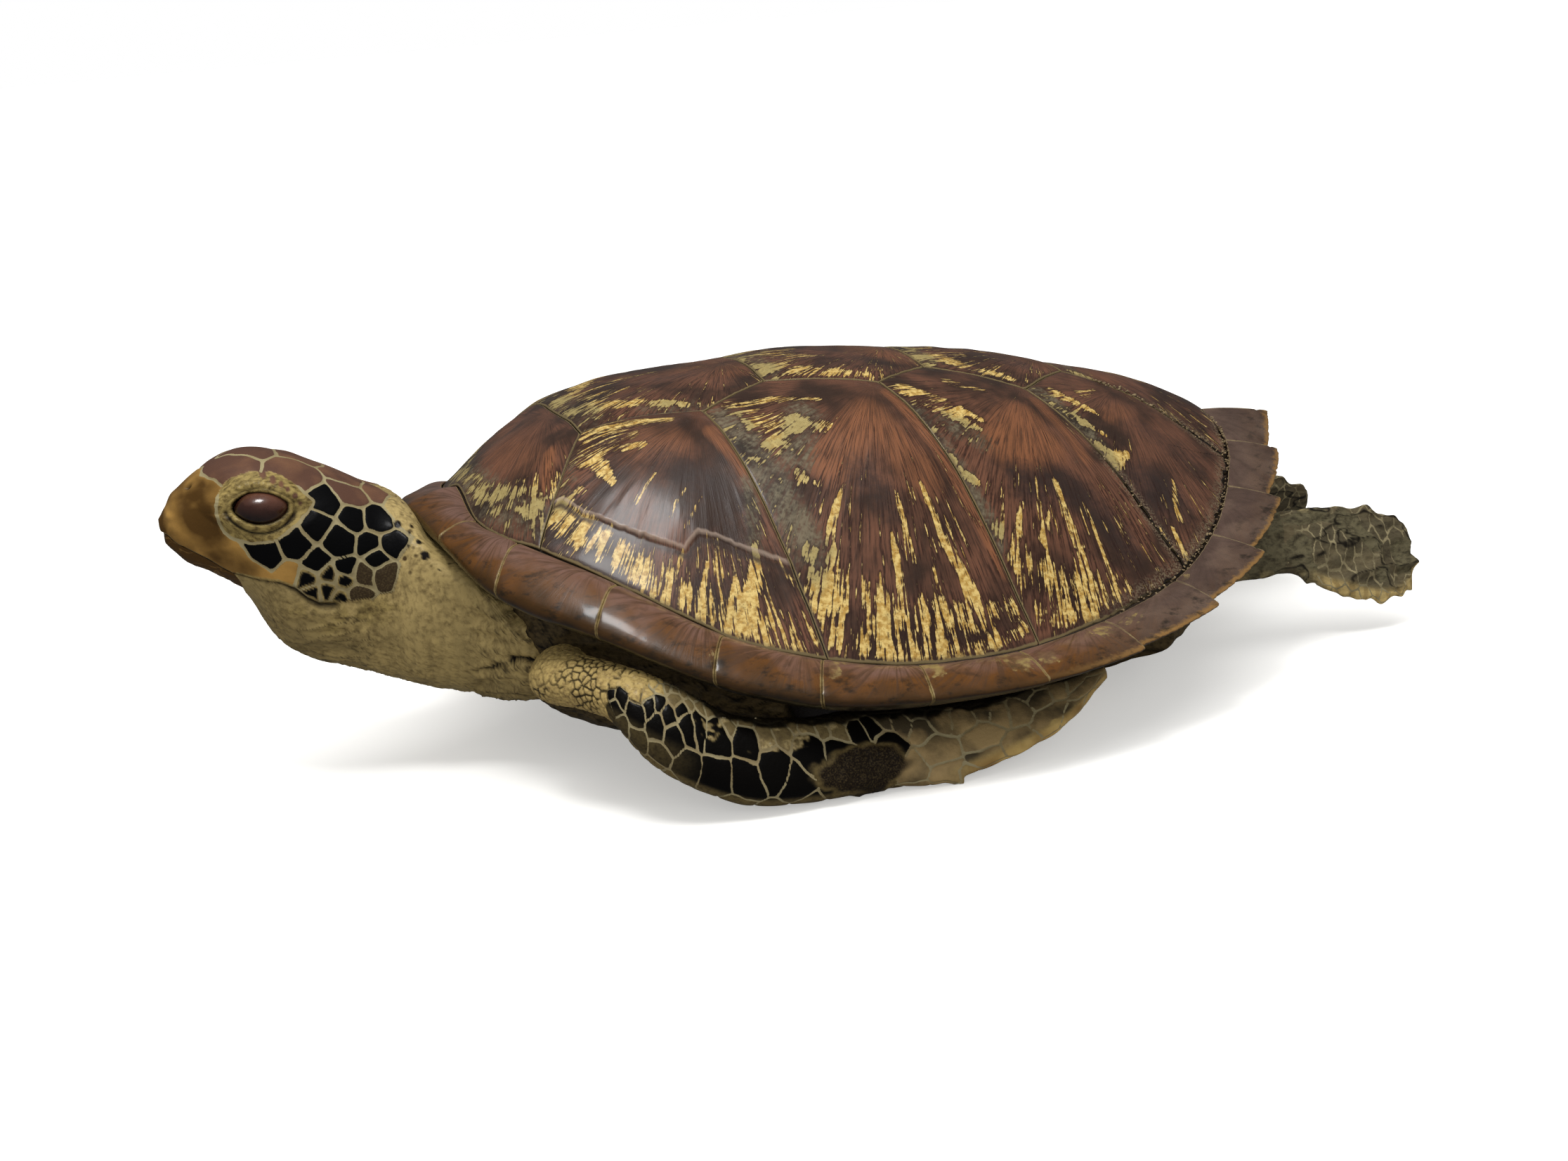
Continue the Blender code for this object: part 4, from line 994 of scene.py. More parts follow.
def makeRimPlate(name, t0, t1, material, seed, toothed=True):
    d = rimLook
    gap = d["gap"] * (1 if t1 > t0 else -1)
    share = np.sort(np.r_[np.linspace(0, 1, d["along"]), 0.004, 0.010, 0.016, 0.984, 0.990, 0.996])
    t = t0 + gap + (t1 - t0 - 2 * gap) * share
    outside, inside = rimRuns(t, toothSwell(share) if toothed else np.zeros(len(t)))
    s = np.sort(np.r_[np.linspace(0, 6, d["round"]), 0.03, 0.08, 2.8, 2.92, 3.08, 3.2])
    rows, size = len(t), len(s)
    runs = [
        curve(run.transpose(1, 0, 2).reshape(7, -1), s).reshape(size, rows, 3).transpose(1, 0, 2)
        for run in (outside, inside)
    ]
    skin = runs[0]
    length = np.linalg.norm(np.diff(outside[:, 2], axis=0), axis=1).sum()
    fromEnd = np.minimum(share, 1 - share)[:, None] * length / mm * np.ones((1, size))
    width = np.linalg.norm(outside[:, 3] - outside[:, 0], axis=1)[:, None]
    fromSeam = s[None] / 3 * width / mm
    core = skin[:, 8:30].mean(1, keepdims=True)
    inward = core - skin
    inward /= np.linalg.norm(inward, axis=-1)[..., None]
    rear = smooth(7.2, 8.6, np.abs(t))[:, None] * np.ones((1, size))
    flat = skin.reshape(-1, 3)
    drop = d["edgeRound"] * (np.exp(-fromEnd / 0.9) + 0.8 * np.exp(-fromSeam / 0.7) * (s[None] < 3))
    drop += d["buckle"] * grain(flat, 16 * mm, seed + 40, 3).reshape(rows, size)
    nearTip = np.exp(-((s[None] - 3) / 0.55) ** 2)
    drop += d["chip"] * rear * nearTip * np.maximum(
        0, grain(flat * (1, 1, 0.3), 2.6 * mm, seed + 60, 2).reshape(rows, size) + 0.1
    )
    drop += 0.35 * mm * rear * np.abs(grain(flat, 5 * mm, seed + 80, 3)).reshape(rows, size)
    skin = skin + inward * drop[..., None]
    points, faces = closedWall(skin, runs[1])
    patch = np.zeros((rows, size))
    for at, across, reach, wide, strength in rimPatches:
        far = np.sqrt(((np.abs(t)[:, None] - at) / reach) ** 2 + ((s[None] / 3 - across) / wide) ** 2)
        patch = np.maximum(patch, strength * (1 - smooth(0.35, 1.1, far)))
    # the growth centre lies towards each plate's rear end, 6 mm inside its inner seam
    along = (share[:, None] - 0.8) * length * shellLength * np.ones((1, size))
    over = (fromSeam + 6) * 0.001
    both = lambda values: np.concatenate([values, np.repeat(values[:, -1:], size, 1)], 1).ravel()  # skin, then inside
    fields = {
        "across": both(s[None] / 3 * np.ones((rows, 1))), "edge": both(fromEnd), "inner": both(fromSeam),
        "rear": both(rear),
        "cream": both(patch), "glow": both(smooth(6.6, 8.4, np.abs(t))[:, None] * np.ones((1, size))),
        "seed": float(seed),
    }
    growth = np.stack([both(along), both(over)], 1)
    return makePiece(name, points, faces, material, fields, growth)


def makeRimPlates(material):
    settle(makeRimPlate("nuchal_plate", -1, 1, material, 31, False), "nuchal_scute")
    for side, word in ((1, "left"), (-1, "right")):
        for k in range(1, 12):
            name = f"marginal_scute_{word}_{k}"
            piece = makeRimPlate(
                name.replace("scute", "plate"), k * side, (k + 1) * side, material, 40 + k + (20 if side < 0 else 0)
            )
            settle(piece, name)
        name = f"supracaudal_scute_{word}"
        settle(makeRimPlate(f"tail_plate_{word}", 12 * side, 13 * side, material, 55 + side), name)


# The bone box fills the shell under the plates; its wall drops to a rounded foot, and the belly is flat on the floor
boneLook = {
    "underPlates": 2.4 * mm, "around": 416, "wallFoot": -0.080,
    "foot": [
        (0.018, -0.086), (0.030, -0.092), (0.034, -0.097), (0.033, -0.102), (0.029, -0.106), (0.022, -0.1088),
        (0.012, -bellyDepth)
    ],
}
bellySeams = [  # plan lines of the plastron's own seams, y from the midline
    [(0.12, 0.0), (0.90, 0.0)], [(0.27, 0.0), (0.235, 0.12), (0.22, 0.25)], [(0.40, 0.0), (0.41, 0.15), (0.38, 0.27)],
    [(0.52, 0.0), (0.53, 0.15), (0.54, 0.27)], [(0.66, 0.0), (0.65, 0.12), (0.68, 0.22)],
    [(0.78, 0.0), (0.77, 0.10), (0.79, 0.18)],
    [(0.30, 0.19), (0.45, 0.20), (0.62, 0.18)],
]


def shareOf(t, share):
    # Plan points a share of the way from the middle of the shell to its inner rim line
    centre = np.array([0.5, 0.0])
    return centre + (rimLine(innerRim, t)[:, :2] - centre) * np.asarray(share, float).reshape(-1, 1)


def makeBone(material):
    d = boneLook
    t = -13 + 26 * np.arange(d["around"]) / d["around"]
    _, inside = rimRuns(t, np.zeros(len(t)))
    inner = rimLine(innerRim, t)
    rings = []
    for share in np.r_[np.linspace(0.04, 0.9, 22), 0.94, 0.965]:
        xy = shareOf(t, share)
        rings.append(np.c_[xy, dome(xy) - d["underPlates"]])
    xy = shareOf(t, 0.985)
    rings.append(np.c_[xy, dome(xy) - d["underPlates"] * 1.3])
    tip = inner + (inside[:, 3] - inner) * 0.44
    tip[:, 2] -= 0.006
    rings.append(tip)
    xy = shareOf(t, 0.965)
    rings.append(np.c_[xy, inside[:, 6, 2] + 0.5 * mm])
    wall = curve(wallShare, np.abs(t))[:, 0]
    for share in np.linspace(0.15, 1, 10):
        top = inside[:, 6, 2] + 0.5 * mm
        xy = shareOf(t, 0.965 + (wall - 0.965) * share)
        rings.append(np.c_[xy, top + (d["wallFoot"] - top) * share**0.8])
    for offset, height in d["foot"]:
        rings.append(np.c_[shareOf(t, wall + offset), np.full(len(t), height)])
    for share in np.linspace(0.97, 0.04, 34):
        xy = shareOf(t, (wall + 0.012) * share)
        rings.append(np.c_[xy, np.full(len(t), -bellyDepth)])
    points, faces = closedTube(np.array(rings))
    flat = points[:, 2] < -0.1055
    half = np.c_[points[:, 0], np.abs(points[:, 1])]
    seams = np.minimum.reduce([awayFrom(half, line) for line in bellySeams]) / mm
    points[:, 2] += flat * (
        0.7 * mm * np.exp(-(seams / 1.2) ** 2)
        + 0.45 * mm * (grain(points, 30 * mm, 5, 3) + 1) * 0.5 * smooth(0, 6, seams)
    )
    points[:, 2] = np.maximum(points[:, 2], -bellyDepth)
    belly = smooth(-0.060, -0.078, points[:, 2])
    item = makePiece("shell_box", points, faces, material, {"belly": belly, "seam": np.where(flat, seams, 20.0)})
    settle(item, "shell_bone")


# Skin folded into the openings between rim and belly, before and behind the bone wall; it lies under the rim, so its
# tones are darkened as painted shade
foldLook = {"depth": 1.5 * mm, "foldSize": 26 * mm, "levels": 44, "foot": -0.0895}


def makeFoldSkin(name, node, times, material, seed):
    d = foldLook
    t = np.asarray(times)
    outside, inside = rimRuns(t, np.zeros(len(t)))
    wall = curve(wallShare, np.abs(t))[:, 0]
    top, low = outside[:, 6, 2] - 0.2 * mm, d["foot"]
    shares = [0.985, 0.97, 0.94, 0.90, None]
    columns, backs = [], []
    for share, level in zip(shares, (1.0, 0.75, 0.5, 0.25, 0.0)):
        height = low + (top - low) * level
        columns.append(np.c_[shareOf(t, wall + 0.065 if share is None else np.full(len(t), share)), height])
        at = wall + (0.965 - wall) * np.maximum(
            0, (height - boneLook["wallFoot"]) / (inside[:, 6, 2] - boneLook["wallFoot"])
        )
        backs.append(np.c_[shareOf(t, at + 0.012), height])
    v = np.linspace(0, 4, d["levels"])
    rows, size = len(t), len(v)
    front, back = [
        curve(np.array(c).reshape(5, -1), v).reshape(size, rows, 3).transpose(1, 0, 2) for c in (columns, backs)
    ]
    push = front - back
    push /= np.maximum(np.linalg.norm(push, axis=-1), 1e-9)[..., None]
    flat = front.reshape(-1, 3)
    folds = grain(flat * (1, 1, 3.4), d["foldSize"], seed, 3)
    fine = grain(flat * (0.6, 0.6, 1.6), 3.2 * mm, seed + 3, 3)
    fade = (smooth(0, 0.35, v) * smooth(4, 3.7, v))[None]
    depth = ((0.8 - np.abs(folds) * 2.0) * d["depth"] + 0.35 * mm * fine).reshape(rows, size) * fade
    front = front + push * depth[..., None]
    points, faces = closedWall(front, back)
    # painted shade along the fold lines
    creaseShade = np.concatenate(
        [np.clip(1 - np.abs(folds) * 6, 0, 1).reshape(rows, size), np.zeros((rows, size))], 1
    ).ravel()
    settle(makePiece(name, points, faces, material, {"dark": creaseShade, "seam": 9.0, "toneShift": 0.5}), node)


# Head, jaw and eyes
eyeSpot = {"centre": (-0.118, 0.052, 0.187), "radii": (0.027, 0.020, 0.018)}
opening = {"centre": (-0.1205, 0.1892), "half": (0.0258, 0.0150), "tilt": -5.0, "lid": 0.0018}
orbit = [  # outline of the wrinkled skin round the eye, (x, z)
    (-0.162, 0.195), (-0.152, 0.212), (-0.136, 0.220), (-0.116, 0.221), (-0.097, 0.215), (-0.085, 0.206),
    (-0.077, 0.198), (-0.070, 0.189),
    (-0.082, 0.177), (-0.098, 0.164), (-0.117, 0.157), (-0.139, 0.158), (-0.154, 0.166), (-0.161, 0.178),
]
mouthLine = [
    (-0.240, 0.178), (-0.215, 0.170), (-0.207, 0.166), (-0.202, 0.160), (-0.189, 0.151), (-0.174, 0.141),
    (-0.161, 0.130), (-0.151, 0.123),
    (-0.134, 0.118), (-0.112, 0.114), (-0.099, 0.107), (-0.089, 0.096), (-0.078, 0.089), (-0.066, 0.0875),
]
# Scales of one side of the head: kind, x, y, z, size in mm that widens (or, below 0, narrows) the scale
headScales = [
    ("beak", -0.203, 0.000, 0.185, 0), ("beak", -0.195, 0.020, 0.165, 0), ("beak", -0.186, 0.020, 0.190, 0),
    ("beak", -0.158, 0.046, 0.140, 0),
    ("beak", -0.144, 0.054, 0.136, -1), ("beak", -0.172, 0.038, 0.160, 0), ("beak", -0.168, 0.037, 0.203, 0),
    ("beak", -0.134, 0.058, 0.124, 0), ("beak", -0.190, 0.008, 0.204, 0),
    ("plate", -0.144, 0.030, 0.226, 0), ("plate", -0.118, 0.000, 0.236, 0.5), ("plate", -0.079, 0.044, 0.212, 1.5),
    ("plate", -0.070, 0.000, 0.222, 2),
    ("plate", -0.034, 0.047, 0.188, 1), ("plate", -0.036, 0.020, 0.200, 1), ("plate", -0.002, 0.030, 0.178, 0),
    ("scale", -0.1225, 0.064, 0.1450, 2.2), ("beak", -0.104, 0.067, 0.121, 0), ("scale", -0.096, 0.073, 0.153, 0.6),
    ("scale", -0.071, 0.073, 0.169, 0.6),
    ("scale", -0.060, 0.064, 0.185, 0.4), ("scale", -0.051, 0.076, 0.150, 0.9), ("scale", -0.011, 0.064, 0.159, 0.6),
    ("scale", -0.024, 0.076, 0.142, 0.2),
    ("scale", -0.075, 0.074, 0.129, 0.4), ("scale", -0.036, 0.069, 0.165, -0.8), ("scale", -0.020, 0.078, 0.126, -0.6),
    ("scale", -0.003, 0.075, 0.138, -1.0),
    ("scale", -0.050, 0.077, 0.120, -1.2), ("small", -0.086, 0.071, 0.113, 1.3), ("small", -0.066, 0.074, 0.115, 1.3),
    ("small", -0.053, 0.075, 0.109, 1.2),
    ("small", -0.068, 0.073, 0.102, 1.3), ("small", -0.084, 0.071, 0.103, 0.6), ("callus", -0.032, 0.079, 0.112, 1),
    ("callus", -0.015, 0.081, 0.109, 0),
    ("callus", -0.040, 0.076, 0.096, 0), ("small", -0.058, 0.074, 0.094, 0.7),
    ("neck", 0.018, 0.060, 0.140, 0), ("neck", 0.013, 0.055, 0.158, 0), ("neck", 0.016, 0.040, 0.170, 0),
    ("neck", 0.018, 0.076, 0.120, 0),
    ("neck", 0.008, 0.086, 0.098, 0), ("neck", -0.014, 0.090, 0.078, 0), ("neck", -0.038, 0.082, 0.074, 0),
    ("neck", -0.058, 0.078, 0.072, 0),
    ("neck", 0.022, 0.000, 0.172, 0), ("neck", 0.020, 0.020, 0.172, 0), ("neck", 0.04, 0.07, 0.09, 4),
    ("neck", 0.05, 0.0, 0.12, 4),
]
lidScales = [
    (-0.113, 0.219, 1.6), (-0.105, 0.2135, 1.5), (-0.098, 0.209, 1.2), (-0.093, 0.204, 1.1), (-0.087, 0.197, 1.3),
    (-0.083, 0.189, 1.0)
]
neckSpots = [
    (0.026, 0.126, 2.2), (0.007, 0.155, 1.9), (0.023, 0.138, 1.0), (0.016, 0.147, 0.9), (0.036, 0.112, 0.8),
    (0.012, 0.136, 0.7), (0.020, 0.152, 0.8)
]
neckCrack = [
    (0.062, 0.000), (0.073, 0.006), (0.082, 0.012), (0.092, 0.018), (0.102, 0.020), (0.112, 0.018), (0.120, 0.010)
]
headLook = {"around": 372, "step": 0.00128, "lineDepth": 0.28 * mm, "scaleSwell": 0.35 * mm}


def headSections(xs):
    t = np.linspace(0, len(headStations) - 1, 2600)
    table = curve(headStations, t)
    return np.stack([np.interp(xs, table[:, 0], table[:, k]) for k in range(5)], 1)


def headPoint(section, angle):
    x, top, bottom, level, half = (section[:, k:k + 1] for k in range(5))
    c, s = np.cos(angle)[None], np.sin(angle)[None]
    y = half * np.sign(c) * np.abs(c) ** 0.85
    z = level + np.where(s > 0, top - level, level - bottom) * np.sign(s) * np.abs(s) ** 0.9
    return np.stack([x * np.ones_like(y), y, z], -1)


def cells(points, seeds, weights, corner=0.0):
    # Nearest seed and the distance to the border with the next one; weights widen a cell, corner rounds its corners
    nearest = np.zeros(len(points), int)
    border = np.zeros(len(points))
    for start in range(0, len(points), 20000):
        part = points[start:start + 20000]
        far = np.sqrt(
            np.maximum((part**2).sum(1)[:, None] + (seeds**2).sum(1)[None] - 2 * part @ seeds.T, 0)
        ) - weights[None]
        order = np.argpartition(far, 2, axis=1)[:, :3]
        near = np.take_along_axis(far, order, 1)
        rank = np.argsort(near, axis=1)
        order, near = np.take_along_axis(order, rank, 1), np.take_along_axis(near, rank, 1)
        span = np.linalg.norm(seeds[order[:, :1]] - seeds[order[:, 1:]], axis=2)
        total = near[:, :1] + near[:, 1:] + weights[order[:, :1]] + weights[order[:, 1:]]
        gaps = (near[:, 1:] - near[:, :1]) * np.clip(total / np.maximum(2 * span, 1e-9), 0.5, 1.0)
        if corner > 0:
            border[start:start + 20000] = -corner * np.log(np.exp(-gaps / corner).sum(1))
        else:
            border[start:start + 20000] = gaps.min(1)
        nearest[start:start + 20000] = order[:, 0]
    return nearest, border


def headSurface(rings):
    # Moves the skin out and in for lids, beak, scales, mouth and folds, and gives the fields for its colours
    rows, size = rings.shape[:2]
    normal = outward(rings)
    points = rings.reshape(-1, 3).copy()
    x, y, z = points.T
    flat = np.c_[x, np.abs(y), z]
    side = np.sign(y)
    kinds = np.array([row[0] for row in headScales])
    seeds = np.array([row[1:4] for row in headScales])
    weights = np.array([row[4] for row in headScales]) * mm * 0.5
    wobble = flat + 0.7 * mm * np.c_[grain(flat, 7 * mm, 1, 2), grain(flat, 7 * mm, 2, 2), grain(flat, 7 * mm, 3, 2)]
    nearest, border = cells(wobble, seeds, weights, 0.55 * mm)
    kind = kinds[nearest]

    def reachOf(*wanted):
        chosen = np.isin(kinds, wanted)
        return (np.linalg.norm(wobble[:, None] - seeds[None, chosen], axis=2) - weights[None, chosen]).min(1)

    # no seams between beak and beak or neck and neck: there the distance runs to the nearest other kind
    scaled = ("plate", "scale", "small", "callus")
    beakEdge, neckEdge = (
        reachOf(*scaled, "neck") - reachOf("beak")
    ) * 0.6, (reachOf(*scaled, "beak") - reachOf("neck")) * 0.6
    seam = np.where(kind == "beak", beakEdge, np.where(kind == "neck", neckEdge, border)) / mm
    rim = np.array(orbit)
    heart = np.array([-0.118, 0.189])
    turn = np.arctan2(rim[:, 1] - heart[1], rim[:, 0] - heart[0])
    order = np.argsort(turn)
    dx, dz = x - heart[0], z - heart[1]
    reach = np.interp(np.arctan2(dz, dx), turn[order], np.linalg.norm(rim - heart, axis=1)[order], period=2 * np.pi)
    orbitOut = (np.hypot(dx, dz) - reach) / mm + 60 * (np.abs(y) < 0.012) + 0.5 * grain(flat, 5 * mm, 4, 2)
    inOrbit = orbitOut < 0
    orbitLine = np.abs(orbitOut) + 1.6 * smooth(0.201, 0.212, z)
    seam = np.where(inOrbit, orbitLine, np.minimum(seam, orbitLine))
    mouthZ = np.interp(x, [p[0] for p in mouthLine], [p[1] for p in mouthLine])
    fromMouth = awayFrom(np.c_[x, z], np.array(mouthLine)) / mm
    belowMouth = (z < mouthZ) & (x < -0.058)
    throat = belowMouth | ((z < 0.088) & (x < -0.03))
    seam = np.where(
        throat, 12.0,
        np.where(kind == "neck", np.maximum(seam, 0), np.minimum(seam, fromMouth * 0.8 + 0.5 * (kind == "beak")))
    )
    plain = ~inOrbit & ~throat
    masks = {key: ((kind == key) & plain).astype(float) for key in ("beak", "plate", "scale", "callus")}
    smallness = smooth(
        -0.5, 1.0, (reachOf("scale", "plate", "beak", "callus", "neck") - reachOf("small")) * 0.6 / mm
    ) * plain
    core = smooth(0.9, 1.5, seam + 0.3 * grain(flat, 3 * mm, 7, 2))
    masks["scale"] = np.where(np.isin(kind, ("scale", "small")) & plain, 1 - smallness * (1 - core), 0)
    masks["lid"] = np.maximum(inOrbit, smallness * (1 - core) * 0.85)
    bright = strokes(
        np.c_[x, z],
        [(0.75, 9, [(-0.066, 0.064), (-0.043, 0.072), (-0.015, 0.076)]), (0.5, 5, [(-0.105, 0.086), (-0.088, 0.080)])]
    )
    masks["lid"] = np.maximum(
        masks["lid"], bright * (throat | (kind == "neck")) * smooth(-0.4, 0.2, grain(flat * (1, 1, 1.6), 5 * mm, 6, 2))
    )
    for sx, sz, r in lidScales:
        masks["plate"] = np.maximum(masks["plate"], inOrbit * smooth(r + 0.35, r - 0.25, np.hypot(x - sx, z - sz) / mm))
    masks["fleck"] = smooth(-0.02, 0.005, x) * smooth(0.095, 0.115, z) * (kind == "neck")

    # lids
    a = math.radians(opening["tilt"])
    dx, dz = x - opening["centre"][0], z - opening["centre"][1]
    u = (dx * math.cos(a) + dz * math.sin(a)) / opening["half"][0]
    w = (-dx * math.sin(a) + dz * math.cos(a)) / opening["half"][1]
    w = w * (1 + 0.16 * u * np.sign(u) * np.abs(u))  # almond corners
    rho = np.hypot(u, w)
    near = (np.abs(y) > 0.018) & (rho < 2.4)
    snap = near & (np.abs(rho - 1) < 0.075)
    stretch = np.where(snap, 1 / np.maximum(rho, 0.1), 1.0)
    x2 = np.where(near, opening["centre"][0] + dx * stretch, x)
    z2 = np.where(near, opening["centre"][1] + dz * stretch, z)
    rho = np.where(snap, 1.0, rho)
    scale = 1 / np.maximum(rho, 0.2)
    ex = opening["centre"][0] + dx * scale * np.where(snap, stretch, 1) - eyeSpot["centre"][0]
    ez = opening["centre"][1] + dz * scale * np.where(snap, stretch, 1) - eyeSpot["centre"][2]
    inside = np.clip(1 - (ex / eyeSpot["radii"][0]) ** 2 - (ez / eyeSpot["radii"][2]) ** 2, 0, 1)
    rimY = eyeSpot["centre"][1] + eyeSpot["radii"][1] * np.sqrt(inside) + opening["lid"]
    angle = np.arctan2(w, u)
    lower = smooth(0.2, -0.6, np.sin(angle))
    upper = smooth(-0.2, 0.6, np.sin(angle))
    swell = 0.0016 * np.exp(-((rho - 1.16) / 0.13) ** 2) + 0.0012 * upper * np.exp(-((rho - 1.55) / 0.25) ** 2)
    bag = 1.26 + 0.36 * np.sin(angle) ** 2  # crease under the lower lid
    swell -= 0.0022 * lower * np.exp(-((rho - bag) / 0.10) ** 2) + 0.0010 * np.exp(-((rho - 1.26) / 0.05) ** 2) * upper
    swell += 0.0005 * upper * np.sin(angle * 34 + 3 * grain(flat, 9 * mm, 7, 1)) * np.exp(-((rho - 1.65) / 0.3) ** 2)
    swell += 0.00035 * np.sin(
        rho * 42 + 2 * grain(flat, 6 * mm, 8, 1)
    ) * lower * smooth(1.02, 1.12, rho) * smooth(1.7, 1.4, rho)
    skinY = np.abs(y)
    blend = smooth(2.3, 1.15, rho)
    lidY = skinY + (rimY - skinY) * blend + swell * smooth(2.3, 1.9, rho)
    lidY = np.where(rho < 1, rimY - 0.030 * smooth(1.0, 0.90, rho), lidY)
    y2 = np.where(near, side * lidY, y)
    lidsDone = near & (rho < 1.9)
    points = np.stack([x2, y2, z2], 1)

    # relief along the normals
    keep = 1 - smooth(2.3, 1.5, np.where(near, rho, 9.0)) * 0.9
    push = np.zeros(len(points))
    scaled = (kind != "neck") & plain
    push += np.where(
        scaled, headLook["scaleSwell"] * (1 - np.exp(-np.maximum(seam, 0) / 1.8)) * np.where(kind == "scale", 1, 0.6), 0
    )
    push -= np.where(scaled | inOrbit, headLook["lineDepth"] * np.exp(-(seam / 0.6) ** 2), 0)
    push += np.where(scaled, 0.7 * mm, 0) * smooth(
        0, 2.0, np.where(kind == "neck", 0, seam + 1.0)
    ) * smooth(-0.09, -0.03, x)
    ridge = (x < -0.150) & (z > mouthZ)
    push += ridge * 0.9 * mm * np.exp(-((x + 0.197) / 0.006) ** 2) * smooth(0.150, 0.165, z) * smooth(0.214, 0.200, z)
    push -= ridge * 0.7 * mm * strokes(np.c_[x, z], [(1.0, 6, [(-0.182, 0.196), (-0.176, 0.175), (-0.168, 0.162)])])
    push += 1.1 * mm * np.exp(-(np.hypot(x + 0.203, z - 0.184) / 0.0035) ** 2) * (np.abs(y) > 0.003)
    brow = (
        smooth(0.206, 0.216, z) * smooth(0.232, 0.222, z) * smooth(-0.165, -0.145, x)
        * smooth(-0.06, -0.09, x) * (np.abs(y) > 0.012)
    )
    push += 1.0 * mm * brow
    nostril = np.sqrt(((x + 0.1815) / 1.5) ** 2 + (z - 0.2105) ** 2 + (np.abs(y) - 0.0155) ** 2) / mm
    push -= 2.4 * mm * np.exp(-(nostril / 1.5) ** 2)
    # mouth: a tight line in front, opening into a fold under the cheek, darkened with painted shade
    wide = 0.55 + 1.5 * smooth(-0.120, -0.095, x)
    drop = (mouthZ - z) / mm
    onSide = smooth(0.02, 0.03, np.abs(y)) * smooth(-0.056, -0.064, x)
    push -= onSide * (0.9 + 1.6 * smooth(-0.12, -0.09, x)) * mm * np.exp(
        -((drop - 0.9 * (wide - 0.5)) / wide) ** 2
    ) * (x > -0.153)
    push += onSide * 0.9 * mm * smooth(-0.5, 0.3, -drop) * np.exp(-np.maximum(-drop, 0) / 4.0) * smooth(-0.15, -0.11, x)
    # throat pleats run back from the jaw, neck crinkles run round it
    low = smooth(0.10, 0.06, z) * smooth(-0.155, -0.13, x)
    pleats = grain(flat * (0.35, 1.0, 1.5), 7 * mm, 12, 3)
    push += throat * low * mm * (0.55 - 1.1 * np.abs(pleats))
    neckness = smooth(-0.005, 0.012, x) + ((kind == "neck") | throat) * smooth(-0.10, -0.03, x) * (x < 0.012)
    neckness = np.clip(neckness, 0, 1) * (~scaled)
    crinkles = grain(flat * (2.6, 1.0, 0.5), 3.4 * mm, 14, 3)
    push += neckness * mm * (0.25 * crinkles + 0.5 * grain(flat * (1.6, 1, 0.7), 16 * mm, 15, 2))
    baseFolds = smooth(0.045, 0.08, x) * smooth(0.11, 0.07, z)
    push += baseFolds * mm * 1.5 * (0.5 - np.abs(grain(flat * (0.8, 1, 2.0), 14 * mm, 16, 3)) * 2)
    crack = awayFrom(np.c_[x, z], neckCrack) / mm + 0.7 * grain(flat, 3 * mm, 17, 2)
    torn = smooth(1.6, 0.5, crack) * (x > 0.05)
    push -= torn * 1.8 * mm
    push = push * keep
    points = points + normal.reshape(-1, 3) * push[:, None]

    folds = neckness * smooth(0.10, 0.75, -crinkles) * 0.20
    mouthShade = onSide * np.exp(-((drop - 0.9 * (wide - 0.5)) / (wide * 0.8)) ** 2)
    lidCreaseShade = lower * np.exp(-((rho - bag) / 0.10) ** 2) + 0.5 * upper * np.exp(-((rho - 1.26) / 0.04) ** 2)
    spotted = np.zeros(len(points))
    for sx, sz, r in neckSpots:
        spotted = np.maximum(
            spotted, smooth(r + 0.3, r - 0.3, np.hypot(x - sx, z - sz) / mm + 0.5 * grain(flat, 2 * mm, 18, 2))
        )
    spotted *= (z > 0.08)
    pleatShade = throat * low * smooth(0.12, 0.02, np.abs(pleats)) * 0.7
    lidRim = np.exp(-((rho - 1.0) / 0.045) ** 2) * near
    # painted shade in the neck crinkles, the mouth fold, the crease under the lower lid, the nostril, the torn crack,
    # the throat pleats and the folds at the neck base; the line round the lids is partly their own dark edge and partly
    # painted shadow of the lid; the neck spots are the skin's own
    masks["dark"] = np.clip(np.maximum.reduce([
        folds, mouthShade, lidCreaseShade * near, spotted, np.exp(-(nostril / 1.3) ** 2), torn, pleatShade, lidRim * 0.85,
        baseFolds * smooth(0.10, 0.01, np.abs(grain(flat * (0.8, 1, 2.0), 14 * mm, 16, 3))) * 0.8,
    ]), 0, 1)
    masks["shade"] = strokes(np.c_[x, z], [
        (0.95, 12, [(-0.182, 0.198), (-0.177, 0.182), (-0.171, 0.166)]), (0.55, 9, [(-0.166, 0.200), (-0.164, 0.184)]),
        (0.8, 4, [(-0.211, 0.186), (-0.212, 0.168)]),
        (0.6, 7, [(-0.170, 0.150), (-0.152, 0.140), (-0.140, 0.128)]), (0.55, 6, [(-0.203, 0.166), (-0.188, 0.156)]),
        (0.6, 5, [(-0.172, 0.214), (-0.190, 0.206)]),
    ]) + 0.22 * grain(flat, 9 * mm, 23, 3)
    shift = np.array([((n * 37) % 10) / 10 - 0.45 for n in range(len(seeds))])
    masks["toneShift"] = shift[nearest] * 0.8
